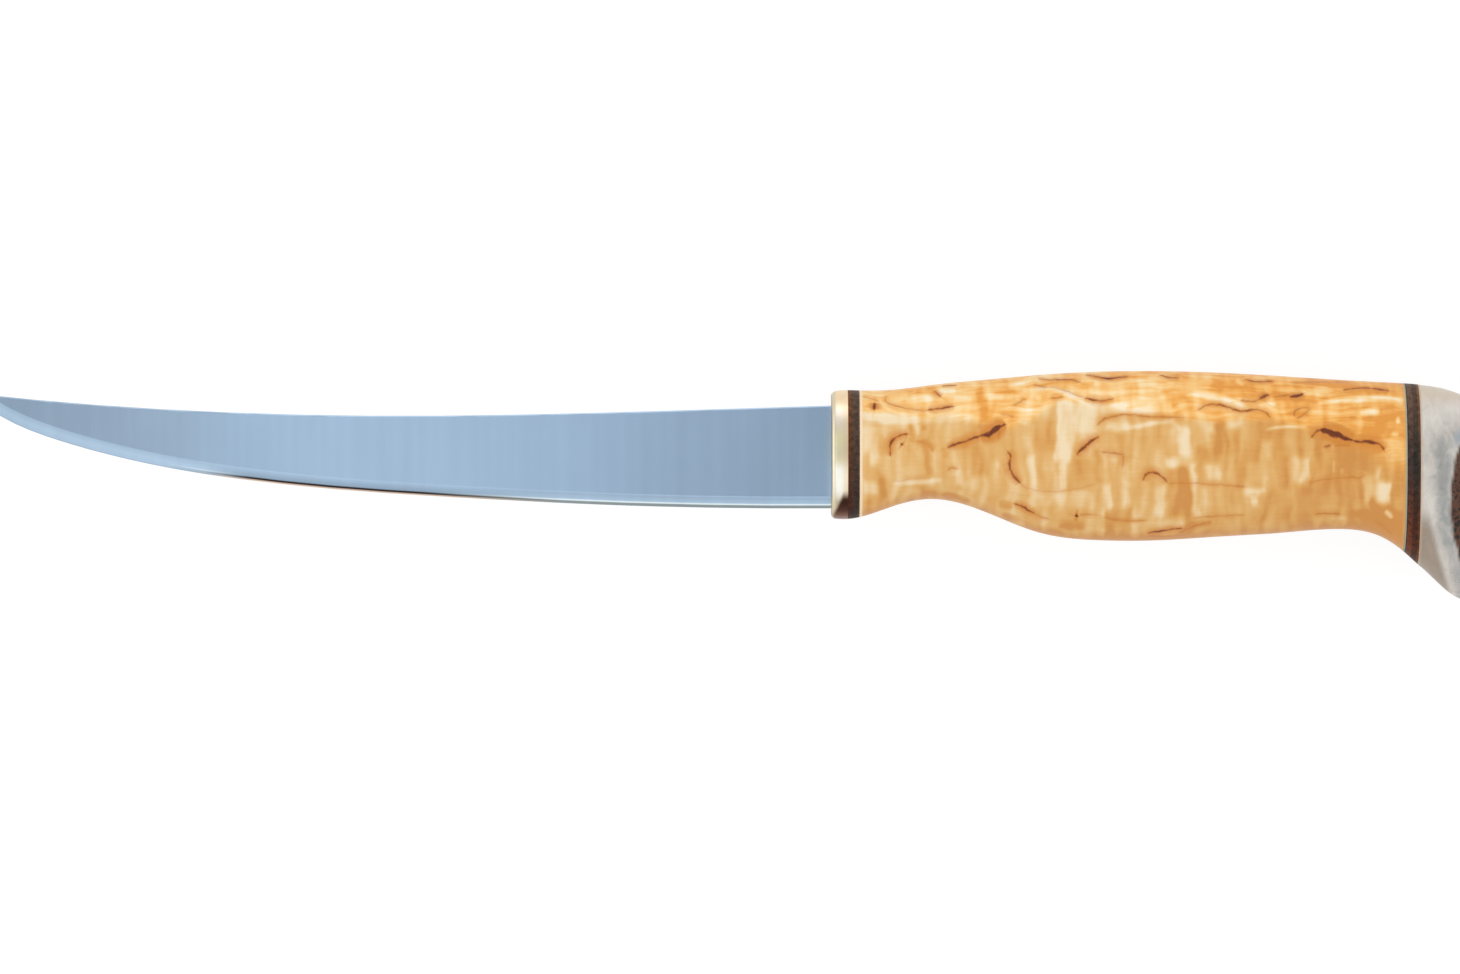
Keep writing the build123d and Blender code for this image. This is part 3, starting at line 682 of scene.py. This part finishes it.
# Along the grip: the tone between the blocks, how much painted shade darkens it where it faces the
# edge side, and how soft the honey band's border and how strong the band is
TONE_ALONG = ((0, 0.53), (30, 0.47), (60, 0.48), (85, 0.2), (106, 0.06))
PAINTED_EDGE_SIDE_SHADE = ((0, 0.35), (28, 0.4), (40, 0.6), (60, 0.6), (78, 0.28), (106, 0.2))
HONEY_SOFT = ((88, 2.2), (104, 7.5))
HONEY_STRENGTH = ((88, 1.0), (104, 0.8))

# How soft the blocks are below and above and at their ends, how much they lean and waver along and
# up, how strong they are, and how far a streak may reach
BLOCK_SOFT, BLOCK_ENDS, BLOCK_LEAN, BLOCK_WAVER = 1.7, (0.5, 2.0), 0.05, (0.35, 0.5)
BLOCK_STRENGTH, FLOW_MARGIN = 0.95, 3.0


def surface_of(node):
    """The CAD node's surface, to lay points on."""
    bm = bmesh.new()
    bm.from_mesh(nodes[node].data)
    tree = BVHTree.FromBMesh(bm)
    bm.free()
    return tree


def as_seen(spots):
    """How far behind the bolster's front and above the tang each place appears from over the knife."""
    grow = CAMERA_HEIGHT / (CAMERA_HEIGHT - np.maximum(spots[:, 2] - MIDDLE, 0))
    x = VIEW_CENTRE[0] + (spots[:, 0] - VIEW_CENTRE[0]) * grow
    y = VIEW_CENTRE[1] + (spots[:, 1] - VIEW_CENTRE[1]) * grow
    return x - BOLSTER_FRONT, y - TANG_LINE


# A fine tube of even rings, laid on the node's surface from inside, with both ends closed
birch_surface = surface_of("grip")
grip_low, grip_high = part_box("grip")
bm = bmesh.new()
bmesh.ops.create_cone(bm, cap_ends=True, segments=GRIP_ROUND, radius1=1 * MM, radius2=1 * MM, depth=1)
sides = [e for e in bm.edges if abs(e.verts[0].co.z - e.verts[1].co.z) > 0.5]
bmesh.ops.subdivide_edges(bm, edges=sides, cuts=GRIP_RINGS, use_grid_fill=True)
for v in bm.verts:
    along = grip_low[0] + (0.5 + v.co.z) * (grip_high[0] - grip_low[0])
    outward = Vector((0, v.co.x, v.co.y)).normalized()
    probe = min(max(along, grip_low[0] + HAIR * MM), grip_high[0] - HAIR * MM)
    start = Vector((probe, TANG_LINE * MM, MIDDLE * MM)) + outward * INSIDE * MM
    hit = birch_surface.ray_cast(start, outward)[0]
    v.co = (along, hit.y, hit.z)
inner = [v for v in bm.verts if grip_low[0] + RIM * MM < v.co.x < grip_high[0] - RIM * MM]
for _ in range(GRIP_SMOOTHINGS):
    bmesh.ops.smooth_vert(bm, verts=inner, factor=0.5, use_axis_y=True, use_axis_z=True)
bmesh.ops.recalc_face_normals(bm, faces=bm.faces)
for f in bm.faces:
    f.smooth = abs(f.normal.x) < 0.9

oiled_birch, tree, shader = new_finish("oiled_curly_birch")
grip = finished(bm, "birch_grip", oiled_birch)
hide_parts("grip")


def points_of(piece):
    """Each point's place in millimetres, and the way the surface faces there."""
    places = np.empty(len(piece.data.vertices) * 3)
    piece.data.vertices.foreach_get("co", places)
    ways = np.empty(len(piece.data.vertices) * 3)
    piece.data.vertex_normals.foreach_get("vector", ways)
    return places.reshape(-1, 3) / MM, ways.reshape(-1, 3)


def laid(along, height):
    """The point of the grip that shows at a place in the view from over the knife."""
    eye = Vector((VIEW_CENTRE[0], VIEW_CENTRE[1], MIDDLE + CAMERA_HEIGHT)) * MM
    aim = Vector((BOLSTER_FRONT + along, TANG_LINE + height, MIDDLE)) * MM
    hit = birch_surface.ray_cast(eye, aim - eye)[0]
    return None if hit is None else np.array(hit) / MM


def laid_round(along, angle):
    """The point of the grip at an angle round the tang, from the spine over the upper side."""
    outward = Vector((0, math.cos(angle), math.sin(angle)))
    start = Vector((BOLSTER_FRONT + along, TANG_LINE, MIDDLE)) * MM + outward * INSIDE * MM
    hit = birch_surface.ray_cast(start, outward)[0]
    return None if hit is None else np.array(hit) / MM


def rounded(points):
    """A line of points with its corners cut twice."""
    for _ in range(2):
        cut = [points[0]]
        for a, b in zip(points, points[1:]):
            cut += [a * 0.75 + b * 0.25, a * 0.25 + b * 0.75]
        points = cut + [points[-1]]
    return np.array(points)


strokes = []
for half_width, dark, line in FLECKS:
    points = [p for p in (laid(*place) for place in line) if p is not None]
    if len(points) > 1:
        strokes.append((half_width, dark, rounded(points)))

draw = random.Random(21)
for _ in range(FLECKS_ELSEWHERE):
    along = draw.uniform(*FLECKS_START)
    angle = draw.uniform(*FLECKS_ROUND) * math.pi
    slope = draw.gauss(0, FLECK_SLOPE)
    bend = draw.gauss(0, FLECK_BEND)
    step = draw.uniform(*FLECK_STEPS)
    half_width = draw.uniform(*FLECK_WIDTHS)
    dark = draw.uniform(*FLECK_DARKNESS)
    points = []
    for k in range(draw.randint(*FLECK_POINTS)):
        if not FLECKS_STAY[0] < along < FLECKS_STAY[1]:
            break
        point = laid_round(along, angle)
        if point is not None:
            points.append(point)
        along += step
        angle += slope * step + draw.gauss(0, FLECK_SHAKE)
        slope += bend * step
    if len(points) > 2:
        strokes.append((half_width, dark, rounded(points)))

# Each layer holds flecks that keep apart: the distance from the nearest, its half width there and
# its darkness, at each point of the grip
spots, facing = points_of(grip)
count = len(spots)
layers = [np.full((count, 3), (FAR, 0.0, 0.0)) for _ in range(FLECK_LAYERS)]
nearest = [np.full(count, FAR) for _ in range(FLECK_LAYERS)]
members = [[] for _ in range(FLECK_LAYERS)]
for half_width, dark, line in strokes:
    home = next((k for k in range(FLECK_LAYERS)
                 if all(np.linalg.norm(line[:, None] - other[None], axis=2).min() > FLECK_APART
                        for other in members[k])), None)
    if home is None:
        continue
    members[home].append(line)
    low, high = line.min(axis=0) - FLECK_MARGIN, line.max(axis=0) + FLECK_MARGIN
    near = np.where(np.all((spots > low) & (spots < high), axis=1))[0]
    p = spots[near]
    best = np.full(len(near), FAR)
    row = np.zeros((len(near), 3))
    for k, (a, b) in enumerate(zip(line, line[1:])):
        t, away = beside(p, a, b)
        gap = np.linalg.norm(away, axis=1)
        side = np.sign(np.einsum("ij,ij->i", np.cross(b - a, away), facing[near]))
        t_all = (k + t) / (len(line) - 1)
        width = half_width * np.clip(4 * t_all * (1 - t_all), 0, 1) ** 0.4
        closer = gap < best
        best = np.where(closer, gap, best)
        row[closer, 0] = (gap * np.where(side == 0, 1, side))[closer]
        row[closer, 1] = np.where(gap < FLECK_REACH, width, 0)[closer]
        row[closer, 2] = dark
    take = best < nearest[home][near]
    nearest[home][near[take]] = best[take]
    layers[home][near[take]] = row[take]
for k, values in enumerate(layers):
    kept = grip.data.attributes.new(f"fleck_{k}", "FLOAT_VECTOR", "POINT")
    kept.data.foreach_set("vector", values.astype(np.float32).ravel())


def wave(values, seed):
    """A slow uneven wave between about -1 and 1, the same each run."""
    turn = random.Random(seed)
    return sum(math.pow(0.6, k) * np.sin(values * (0.7 + 0.9 * k) + turn.uniform(0, 6.3))
               for k in range(4)) / 2


def eased(values):
    """Values from 0 to 1 with soft ends."""
    values = np.clip(values, 0, 1)
    return values * values * (3 - 2 * values)


def followed(values, pairs):
    """The line through the pairs, read at each value."""
    return np.interp(values, *zip(*pairs))


# The figure's tone at each point: blocks first, then streaks over them. The figure runs through
# the block of wood, so the under side shows it too, a little shifted
across, up = as_seen(spots)
tone = followed(across, TONE_ALONG)
hold = np.zeros(count)
over = eased((spots[:, 2] - MIDDLE) / 3 + 0.5)
for side, shift in ((over, 0.0), (1 - over, UNDER_SHIFT)):
    x = across + shift
    for number, (start, end, bottom, top, value) in enumerate(BLOCKS):
        lean = draw.gauss(0, BLOCK_LEAN)
        soft_start, soft_end = draw.uniform(*BLOCK_ENDS), draw.uniform(*BLOCK_ENDS)
        xw = x + BLOCK_WAVER[0] * wave(up * 0.9, number) + lean * (up - (bottom + top) / 2)
        yw = up + BLOCK_WAVER[1] * wave(x * 0.7, number + 50)
        inside = eased((xw - start) / soft_start + 0.5) * eased((end - xw) / soft_end + 0.5)
        inside = inside * eased(np.minimum(yw - bottom, top - yw) / BLOCK_SOFT + 0.5) * side * BLOCK_STRENGTH
        tone = tone * (1 - inside) + value * inside
        hold = np.maximum(hold, inside)
    seen_at = np.stack((x, up), axis=1)
    for value, half_width, strength, line in FLOWS:
        line = rounded([np.array(p) for p in line])
        low, high = line.min(axis=0) - FLOW_MARGIN, line.max(axis=0) + FLOW_MARGIN
        near = np.where(np.all((seen_at > low) & (seen_at < high), axis=1))[0]
        gap = np.full(len(near), FAR)
        taper = np.zeros(len(near))
        for k, (a, b) in enumerate(zip(line, line[1:])):
            t, away = beside(seen_at[near], a, b)
            away = np.linalg.norm(away, axis=1)
            t_all = (k + t) / (len(line) - 1)
            taper = np.where(away < gap, np.clip(4 * t_all * (1 - t_all), 0, 1) ** 0.5, taper)
            gap = np.minimum(gap, away)
        inside = np.zeros(count)
        soft_width = 1.5 * half_width * (0.4 + 0.6 * taper)
        inside[near] = eased((soft_width - gap) / (half_width + 0.3) + 0.2) * strength * taper
        inside *= side
        tone = tone * (1 - inside) + value * inside
        hold = np.maximum(hold, inside)
# Painted shade where the grip turns away towards the cutting edge's side
tone -= followed(across, PAINTED_EDGE_SIDE_SHADE) * eased((-facing[:, 1] - 0.78) / 0.2)
above = up - followed(across, HONEY_BORDER) + 0.5 * wave(across * 0.5, 7)
honey = eased(above / followed(across, HONEY_SOFT) + 0.5) * followed(across, HONEY_STRENGTH)
keep_values(grip, tone=tone, drawn=hold, honey=honey)

BODY_WOOD = ((0.0, "#D0904A"), (0.22, "#DAA25A"), (0.5, "#E2B472"), (0.78, "#EBCA98"), (1.0, "#F0DAB4"))
HONEY_WOOD = ((0.0, "#E69A42"), (0.22, "#F3B15A"), (0.5, "#F9C77E"), (0.78, "#FBDAA0"), (1.0, "#FCEACA"))
PALE_FRONT_LINE = "#F8E0C2"
DARK_END_LINE = "#C4A06C"
HALO = "#D08436"
BARK = ((0.1, "#C87C34"), (0.4, "#AC6630"), (0.7, "#8C4A26"), (0.97, "#6A3218"))
COARSE_GRAIN = 2.2
WANDER = 3.5
CELL_STRETCH, CELLS_SHOW = (0.24, 0.09, 0.11), 0.6
CELLS_FREE, CELLS_HELD = 0.5, 0.1
BIRCH_ROUGH = (0.36, 0.5)

# The figure's patterns: how each stretches along, over and through the grip, its noise, and how
# strongly it shows. The cells above show less where a block or a streak is drawn
FIGURE = {
    "curl": ((0.6, 0.14, 0.18), {"Detail": 0.5}, 0.8),
    "grain": ((0.05, COARSE_GRAIN, COARSE_GRAIN), {"Detail": 1.0, "Roughness": 0.6}, 0.17),
    "flow": ((0.06, 0.8, 0.8), {"Detail": 2.0, "Distortion": 0.5}, 1.3),
}

# How far the flecks' borders waver and by how much their width swells, the amber's width in half
# widths of the fleck, and for the core and the amber the least half width and how steeply it ends
JITTER, SWELL, HALO_WIDTHS = 0.7, (0.55, 1.4), 3.4
CORE_EDGE, HALO_EDGE = (0.14, 2.0), (0.45, 0.8)
INK_STRENGTH, HALO_STRENGTH = 1.6, 0.95

# Behind the bolster's front, where the pale line at the grip's front and the darker one at its end
# begin and are full, and how strong they are
PALE_FRONT, DARK_END = (5.85, 5.65, 0.85), (105.7, 106.2, 0.6)

# Oiled wood: a soft shine over blurred blocks, with a fine grain along the grip, drawn a little
# coarser than it is so that it shows, and flecks with amber round them
warp = add_node(tree, "TexNoise", {"Vector": millimetres(tree), "Scale": 0.11, "Detail": 2.0})
warped = add_node(tree, "VectorMath", (
    warp.outputs["Color"], (WANDER, WANDER, WANDER), millimetres(tree)), operation="MULTIPLY_ADD")
cell_place = add_node(tree, "Mapping", {"Vector": warped, "Scale": CELL_STRETCH})
cells = add_node(tree, "TexVoronoi", {
    "Vector": cell_place, "Scale": 1.0, "Randomness": 0.9, "Smoothness": 0.3,
}, feature="SMOOTH_F1", distance="CHEBYCHEV").outputs["Color"]
cell_tone = add_node(tree, "SeparateColor", (cells,))
drawn_tone, drawn, honey = (add_node(tree, "Attribute", attribute_name=name).outputs["Fac"]
                            for name in ("tone", "drawn", "honey"))
free = add_node(tree, "MapRange", {"Value": drawn, "To Min": CELLS_FREE, "To Max": CELLS_HELD})
figure = add_node(tree, "Math", (cell_tone, CELLS_SHOW, -CELLS_SHOW / 2), operation="MULTIPLY_ADD")
figure = add_node(tree, "Math", (figure, free, drawn_tone), operation="MULTIPLY_ADD")
patterns, tones = {}, {}
for name, (stretch, look, share) in FIGURE.items():
    place = add_node(tree, "Mapping", {"Vector": warped, "Scale": stretch})
    patterns[name] = add_node(tree, "TexNoise", {"Vector": place, "Scale": 1.0, **look})
    part = add_node(tree, "Math", (patterns[name], 0.5), operation="SUBTRACT")
    figure = add_node(tree, "Math", (part, share, figure), operation="MULTIPLY_ADD")
    tones[name] = figure
body = add_node(tree, "ValToRGB", (tones["grain"],), BODY_WOOD)
band = add_node(tree, "ValToRGB", (tones["flow"],), HONEY_WOOD)

# Each layer's flecks: a brown core that swells and shrinks, and amber that fades out round it
jitter = add_node(tree, "TexNoise", {"Vector": millimetres(tree), "Scale": 0.9, "Detail": 3.0})
jitter = add_node(tree, "Math", (jitter, JITTER, -JITTER / 2), operation="MULTIPLY_ADD")
swell = add_node(tree, "TexNoise", {"Vector": millimetres(tree), "Scale": 0.6, "Detail": 2.0})
swell = add_node(tree, "MapRange", {
    "Value": swell, "From Min": 0.3, "From Max": 0.7, "To Min": SWELL[0], "To Max": SWELL[1]})
drawn_flecks = {"core": 0.0, "halo": 0.0}
for k in range(FLECK_LAYERS):
    layer = add_node(tree, "Attribute", attribute_name=f"fleck_{k}").outputs["Vector"]
    fleck = add_node(tree, "SeparateXYZ", (layer,)).outputs
    gap = add_node(tree, "Math", (fleck["X"], jitter), operation="ADD")
    gap = add_node(tree, "Math", (gap,), operation="ABSOLUTE")
    for name, grow, (least, steep) in (("core", swell, CORE_EDGE), ("halo", HALO_WIDTHS, HALO_EDGE)):
        part = add_node(tree, "Math", (fleck["Y"], grow, least), operation="MULTIPLY_ADD")
        part = add_node(tree, "Math", (part, gap), operation="SUBTRACT")
        part = add_node(tree, "Math", (part, steep), operation="MULTIPLY", use_clamp=True)
        part = add_node(tree, "Math", (part, fleck["Z"]), operation="MULTIPLY")
        drawn_flecks[name] = add_node(tree, "Math", (drawn_flecks[name], part), operation="MAXIMUM")
halo = add_node(tree, "Math", (drawn_flecks["halo"], HALO_STRENGTH), operation="MULTIPLY")
ink = add_node(tree, "Math", (drawn_flecks["core"], INK_STRENGTH), operation="MULTIPLY", use_clamp=True)
bark = add_node(tree, "ValToRGB", (drawn_flecks["core"],), BARK)
behind = add_node(tree, "SeparateXYZ", (millimetres(tree),)).outputs["X"]
pale_front, dark_end = (
    add_node(tree, "MapRange", {"Value": behind, "From Min": start, "From Max": full, "To Max": most})
    for start, full, most in (PALE_FRONT, DARK_END))
colour = body
for part, tint in ((honey, band), (halo, linear(HALO)), (pale_front, linear(PALE_FRONT_LINE)),
                   (dark_end, linear(DARK_END_LINE)), (ink, bark)):
    colour = add_node(tree, "Mix", {0: part, COLOUR_A: colour, COLOUR_B: tint},
                      data_type="RGBA").outputs[MIXED]
grain = patterns["grain"]
rough = add_node(tree, "MapRange", {"Value": grain, "To Min": BIRCH_ROUGH[0], "To Max": BIRCH_ROUGH[1]})
bump = add_node(tree, "Bump", {"Height": grain, "Strength": 0.15, "Distance": 0.03 * MM})
fill(tree, shader, {
    "Base Color": colour, "Roughness": rough, "Normal": bump,
    "Specular IOR Level": 0.24, "Coat Weight": 0.03, "Coat Roughness": 0.25})


# The pommel. The end of a reindeer antler, cut across, hollowed for the tang's end, shaped to a
# beak that stops the hand, and sanded smooth. Hard bone with grey marbling stands round the
# brown spongy marrow, which shows where the butt is rounded over.
POMMEL_START = 109.0
POMMEL_LENGTH = 19.0
POMMEL_ROUND = 240
POMMEL_RINGS = 120
POMMEL_SMOOTHINGS = 4
POMMEL_RIM = 0.15
OUTSIDE = 50.0

# Dents in the bone: how deep and how fine. Pores in the marrow: how deep at least, how much deeper
# and how fine. Both fade in from the pommel's front
DENTS = ((0.10, 0.22), (0.03, 0.9))
SHALLOW, DEEP, FINE = 0.12, 0.3, 1.7
FADE_IN = 1.2

# The antler's middle line, behind the bolster's front and above the tang. The marrow's border:
# where it begins and how high, half its height, how much it bends back and turns in towards the
# ends of that, how far outside it goes on, and how uneven it is
HEART = (
    (108.4, -3.4), (113.3, -5.5), (116.8, -7.3), (120.3, -8.6), (123.5, -9.8), (126.1, -10.3), (128, -8.2))
MARROW_START, MARROW_HEIGHT, MARROW_HALF = 115.3, -8.5, 16.0
MARROW_BEND, MARROW_TURN, MARROW_REACH, MARROW_UNEVEN = 3.4, 2.0, 1.6, 0.4

# A pale streak of painted highlight, by height and place along, and dark clouds, each with its place
# along, its height, its half width both ways and how dark it is: grey marbling, then painted blue-grey shade
STREAK = ((-25.5, 115.6), (-17.0, 113.2), (-11.5, 111.9), (-7.0, 111.0))
DARK_CLOUDS = ((113.9, -3.5, 1.5, 8.0, 0.5), (116.6, 4.8, 1.3, 2.8, 0.4))
BONE_SHADES = ((0.05, "#8E8D89"), (0.3, "#A09F9B"), (0.6, "#C2BCB4"), (0.95, "#D6D0C8"))
# Tints: a warm painted shade in the low wedge at the foot, beige towards the spine, a blue-grey painted shade
# along the marrow's border that is strongest at the top, and tan at the front edge
BONE_TINTS = {
    "warm": ("#94826F", 0.8), "beige": ("#D0BEA8", 0.7), "blue": ("#9EA8B0", 0.8), "cut": ("#BC9C7C", 0.9)}
SPONGE = ((0.0, "#583624"), (0.1, "#583624"), (0.34, "#1E110B"))
BONE_CLOUDS, BONE_SPECKLE = 0.9, 0.25
PORE, PORE_WANDER = 1.0, 1.5
ANTLER_ROUGH = (0.4, 0.7)

# Half a ball, laid on the node's surface from outside in rings that close at the butt
antler_surface = surface_of("antler_pommel")
bm = bmesh.new()
bmesh.ops.create_uvsphere(bm, u_segments=POMMEL_ROUND, v_segments=POMMEL_RINGS, radius=1)
bmesh.ops.bisect_plane(bm, geom=bm.verts[:] + bm.edges[:] + bm.faces[:], plane_co=(0, 0, 0),
                       plane_no=(0, 0, -1), clear_outer=True, dist=1e-5)
bmesh.ops.contextual_create(bm, geom=[e for e in bm.edges if e.is_boundary])
for v in bm.verts:
    along = POMMEL_START + POMMEL_LENGTH * v.co.z
    heart = Vector((BOLSTER_FRONT + along, TANG_LINE + float(followed(along, HEART)), MIDDLE)) * MM
    outward = Vector((0, v.co.x, v.co.y))
    if outward.length < 1e-4:
        v.co = heart
        continue
    outward.normalize()
    probe = heart.copy()
    probe.x = max(probe.x, (BOLSTER_FRONT + POMMEL_START + HAIR) * MM)
    hit = antler_surface.ray_cast(probe + outward * OUTSIDE * MM, -outward)[0]
    v.co = heart if hit is None else (heart.x, hit.y, hit.z)

# Every face looks outwards, so that the dents below go into the antler
bmesh.ops.recalc_face_normals(bm, faces=bm.faces)
if bm.calc_volume(signed=True) < 0:
    bmesh.ops.reverse_faces(bm, faces=bm.faces)
front = (BOLSTER_FRONT + POMMEL_START) * MM
inner = [v for v in bm.verts if v.co.x > front + POMMEL_RIM * MM]
for _ in range(POMMEL_SMOOTHINGS):
    bmesh.ops.smooth_vert(bm, verts=inner, factor=0.5, use_axis_y=True, use_axis_z=True)


def marrow_depth(spots):
    """How far each place is behind the border of the marrow, in millimetres."""
    along, height = as_seen(spots)
    reach = np.minimum(np.abs(height - MARROW_HEIGHT) / MARROW_HALF, MARROW_REACH)
    uneven = np.array([noise.noise(Vector(p) * 0.3) for p in spots])
    border = MARROW_BEND * reach ** 2 + MARROW_TURN * reach ** 6 - MARROW_UNEVEN * uneven
    return along - MARROW_START - border


# The marrow is worn below the bone and open in pores, and the bone is a little uneven
bm.normal_update()
depths = marrow_depth(np.array([v.co / MM for v in inner]))
for v, depth in zip(inner, depths):
    place = v.co / MM
    soft = min(max(depth / 0.8 + 0.5, 0), 1)
    dents = sum(deep * (1 + noise.noise(place * fine)) for deep, fine in DENTS)
    pores = soft * (SHALLOW + DEEP * max(0.0, noise.noise(place * FINE) + 0.1))
    ease = min((v.co.x - front) / (FADE_IN * MM), 1)
    v.co -= v.normal * (dents + pores) * ease * MM
for f in bm.faces:
    f.smooth = f.normal.x > -0.9

sanded_antler, tree, shader = new_finish("sanded_reindeer_antler")
pommel = finished(bm, "antler_butt", sanded_antler)
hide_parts("antler_pommel")

# Painted light and shade on the bone: paler towards the spine and on the streak, a painted highlight, darker
# at its foot and in the clouds
spots, facing = points_of(pommel)
along, height = as_seen(spots)
depth = marrow_depth(spots)
streak = followed(height, STREAK)
shade = 0.66 + 0.2 * eased((height - 2) / 6) - 0.26 * eased((-height - 9) / 4)
shade += 0.3 * np.exp(-((along - streak) / 0.9) ** 2) * eased((-height - 5) / 3)
for place, level, half_along, half_high, dark in DARK_CLOUDS:
    shade -= dark * np.exp(-((along - place) / half_along) ** 2 - ((height - level) / half_high) ** 2)
# The low wedge at the foot, which takes a warm painted shade
low_wedge = eased((streak - 0.5 - along) / 1.2 + 0.5) * eased((-height - 9) / 5)
keep_values(
    pommel,
    marrow=eased(depth / 0.5 + 0.5),
    shade=shade,
    warm=low_wedge,
    beige=eased((height - 8.5) / 3.5),
    blue=np.exp(-((depth + 0.9) / 0.9) ** 2) * (0.15 + 0.9 * eased((height - 1) / 3)),
    cut=eased((POMMEL_START + 0.35 - (spots[:, 0] - BOLSTER_FRONT)) / 0.2 + 0.5),
)

# Sanded bone: a soft shine on pale grey with cloudy marbling, and a dull brown sponge inside
cloud = add_node(tree, "TexNoise", {
    "Vector": millimetres(tree, (0.8, 0.45, 0.6)), "Scale": 0.6, "Detail": 4.0, "Distortion": 1.0})
speckle = add_node(tree, "TexNoise", {"Vector": millimetres(tree), "Scale": 3.0, "Detail": 3.0})
shade = add_node(tree, "Attribute", attribute_name="shade").outputs["Fac"]
for pattern, share in ((cloud, BONE_CLOUDS), (speckle, BONE_SPECKLE)):
    shade = add_node(tree, "Math", (pattern, share, shade), operation="MULTIPLY_ADD")
shade = add_node(tree, "Math", (shade, (BONE_CLOUDS + BONE_SPECKLE) / 2), operation="SUBTRACT")
bone = add_node(tree, "ValToRGB", (shade,), BONE_SHADES)
# The tints, with the painted shade at the foot and along the marrow's border
for name, (tint, strength) in BONE_TINTS.items():
    part = add_node(tree, "Attribute", attribute_name=name).outputs["Fac"]
    part = add_node(tree, "Math", (part, strength), operation="MULTIPLY")
    bone = add_node(tree, "Mix", {0: part, COLOUR_A: bone, COLOUR_B: linear(tint)},
                    data_type="RGBA").outputs[MIXED]
uneven = add_node(tree, "TexNoise", {"Vector": millimetres(tree), "Scale": 0.7, "Detail": 2.0})
uneven = add_node(tree, "VectorMath", (
    uneven.outputs["Color"], (PORE_WANDER, PORE_WANDER, PORE_WANDER), millimetres(tree)),
                  operation="MULTIPLY_ADD")
pores = add_node(tree, "TexVoronoi", {"Vector": uneven, "Scale": 1 / PORE},
                 feature="DISTANCE_TO_EDGE").outputs["Distance"]
sponge = add_node(tree, "ValToRGB", (pores,), SPONGE)
marrow = add_node(tree, "Attribute", attribute_name="marrow").outputs["Fac"]
colour = add_node(tree, "Mix", {0: marrow, COLOUR_A: bone, COLOUR_B: sponge},
                  data_type="RGBA").outputs[MIXED]
rough = add_node(tree, "MapRange", {"Value": marrow, "To Min": ANTLER_ROUGH[0], "To Max": ANTLER_ROUGH[1]})
bump = add_node(tree, "Bump", {"Height": speckle, "Strength": 0.3, "Distance": 0.05 * MM})
walls = add_node(tree, "MapRange", {
    "Value": pores, "From Min": 0.05, "From Max": 0.3, "To Min": 1.0, "To Max": 0.0})
open_pores = add_node(tree, "Math", (walls, marrow), operation="MULTIPLY")
bump = add_node(tree, "Bump", {
    "Height": open_pores, "Strength": 0.8, "Distance": 0.2 * MM, "Normal": bump})
fill(tree, shader, {"Base Color": colour, "Roughness": rough, "Normal": bump})


# The adhesive. Epoxy that fills the bore round the tang and sets it for good. Glossy amber, a
# little cloudy, it stays hidden in the finished knife.
amber_epoxy, tree, shader = new_finish("glossy_amber_epoxy")
cloud = add_node(tree, "TexNoise", {"Vector": millimetres(tree), "Scale": 0.3})
amber = add_node(tree, "ValToRGB", (cloud,), ((0.3, "#C79A4A"), (0.7, "#D9B062")))
fill(tree, shader, {"Base Color": amber, "Roughness": 0.15})
nodes["tang_adhesive"].material_slots[0].material = amber_epoxy
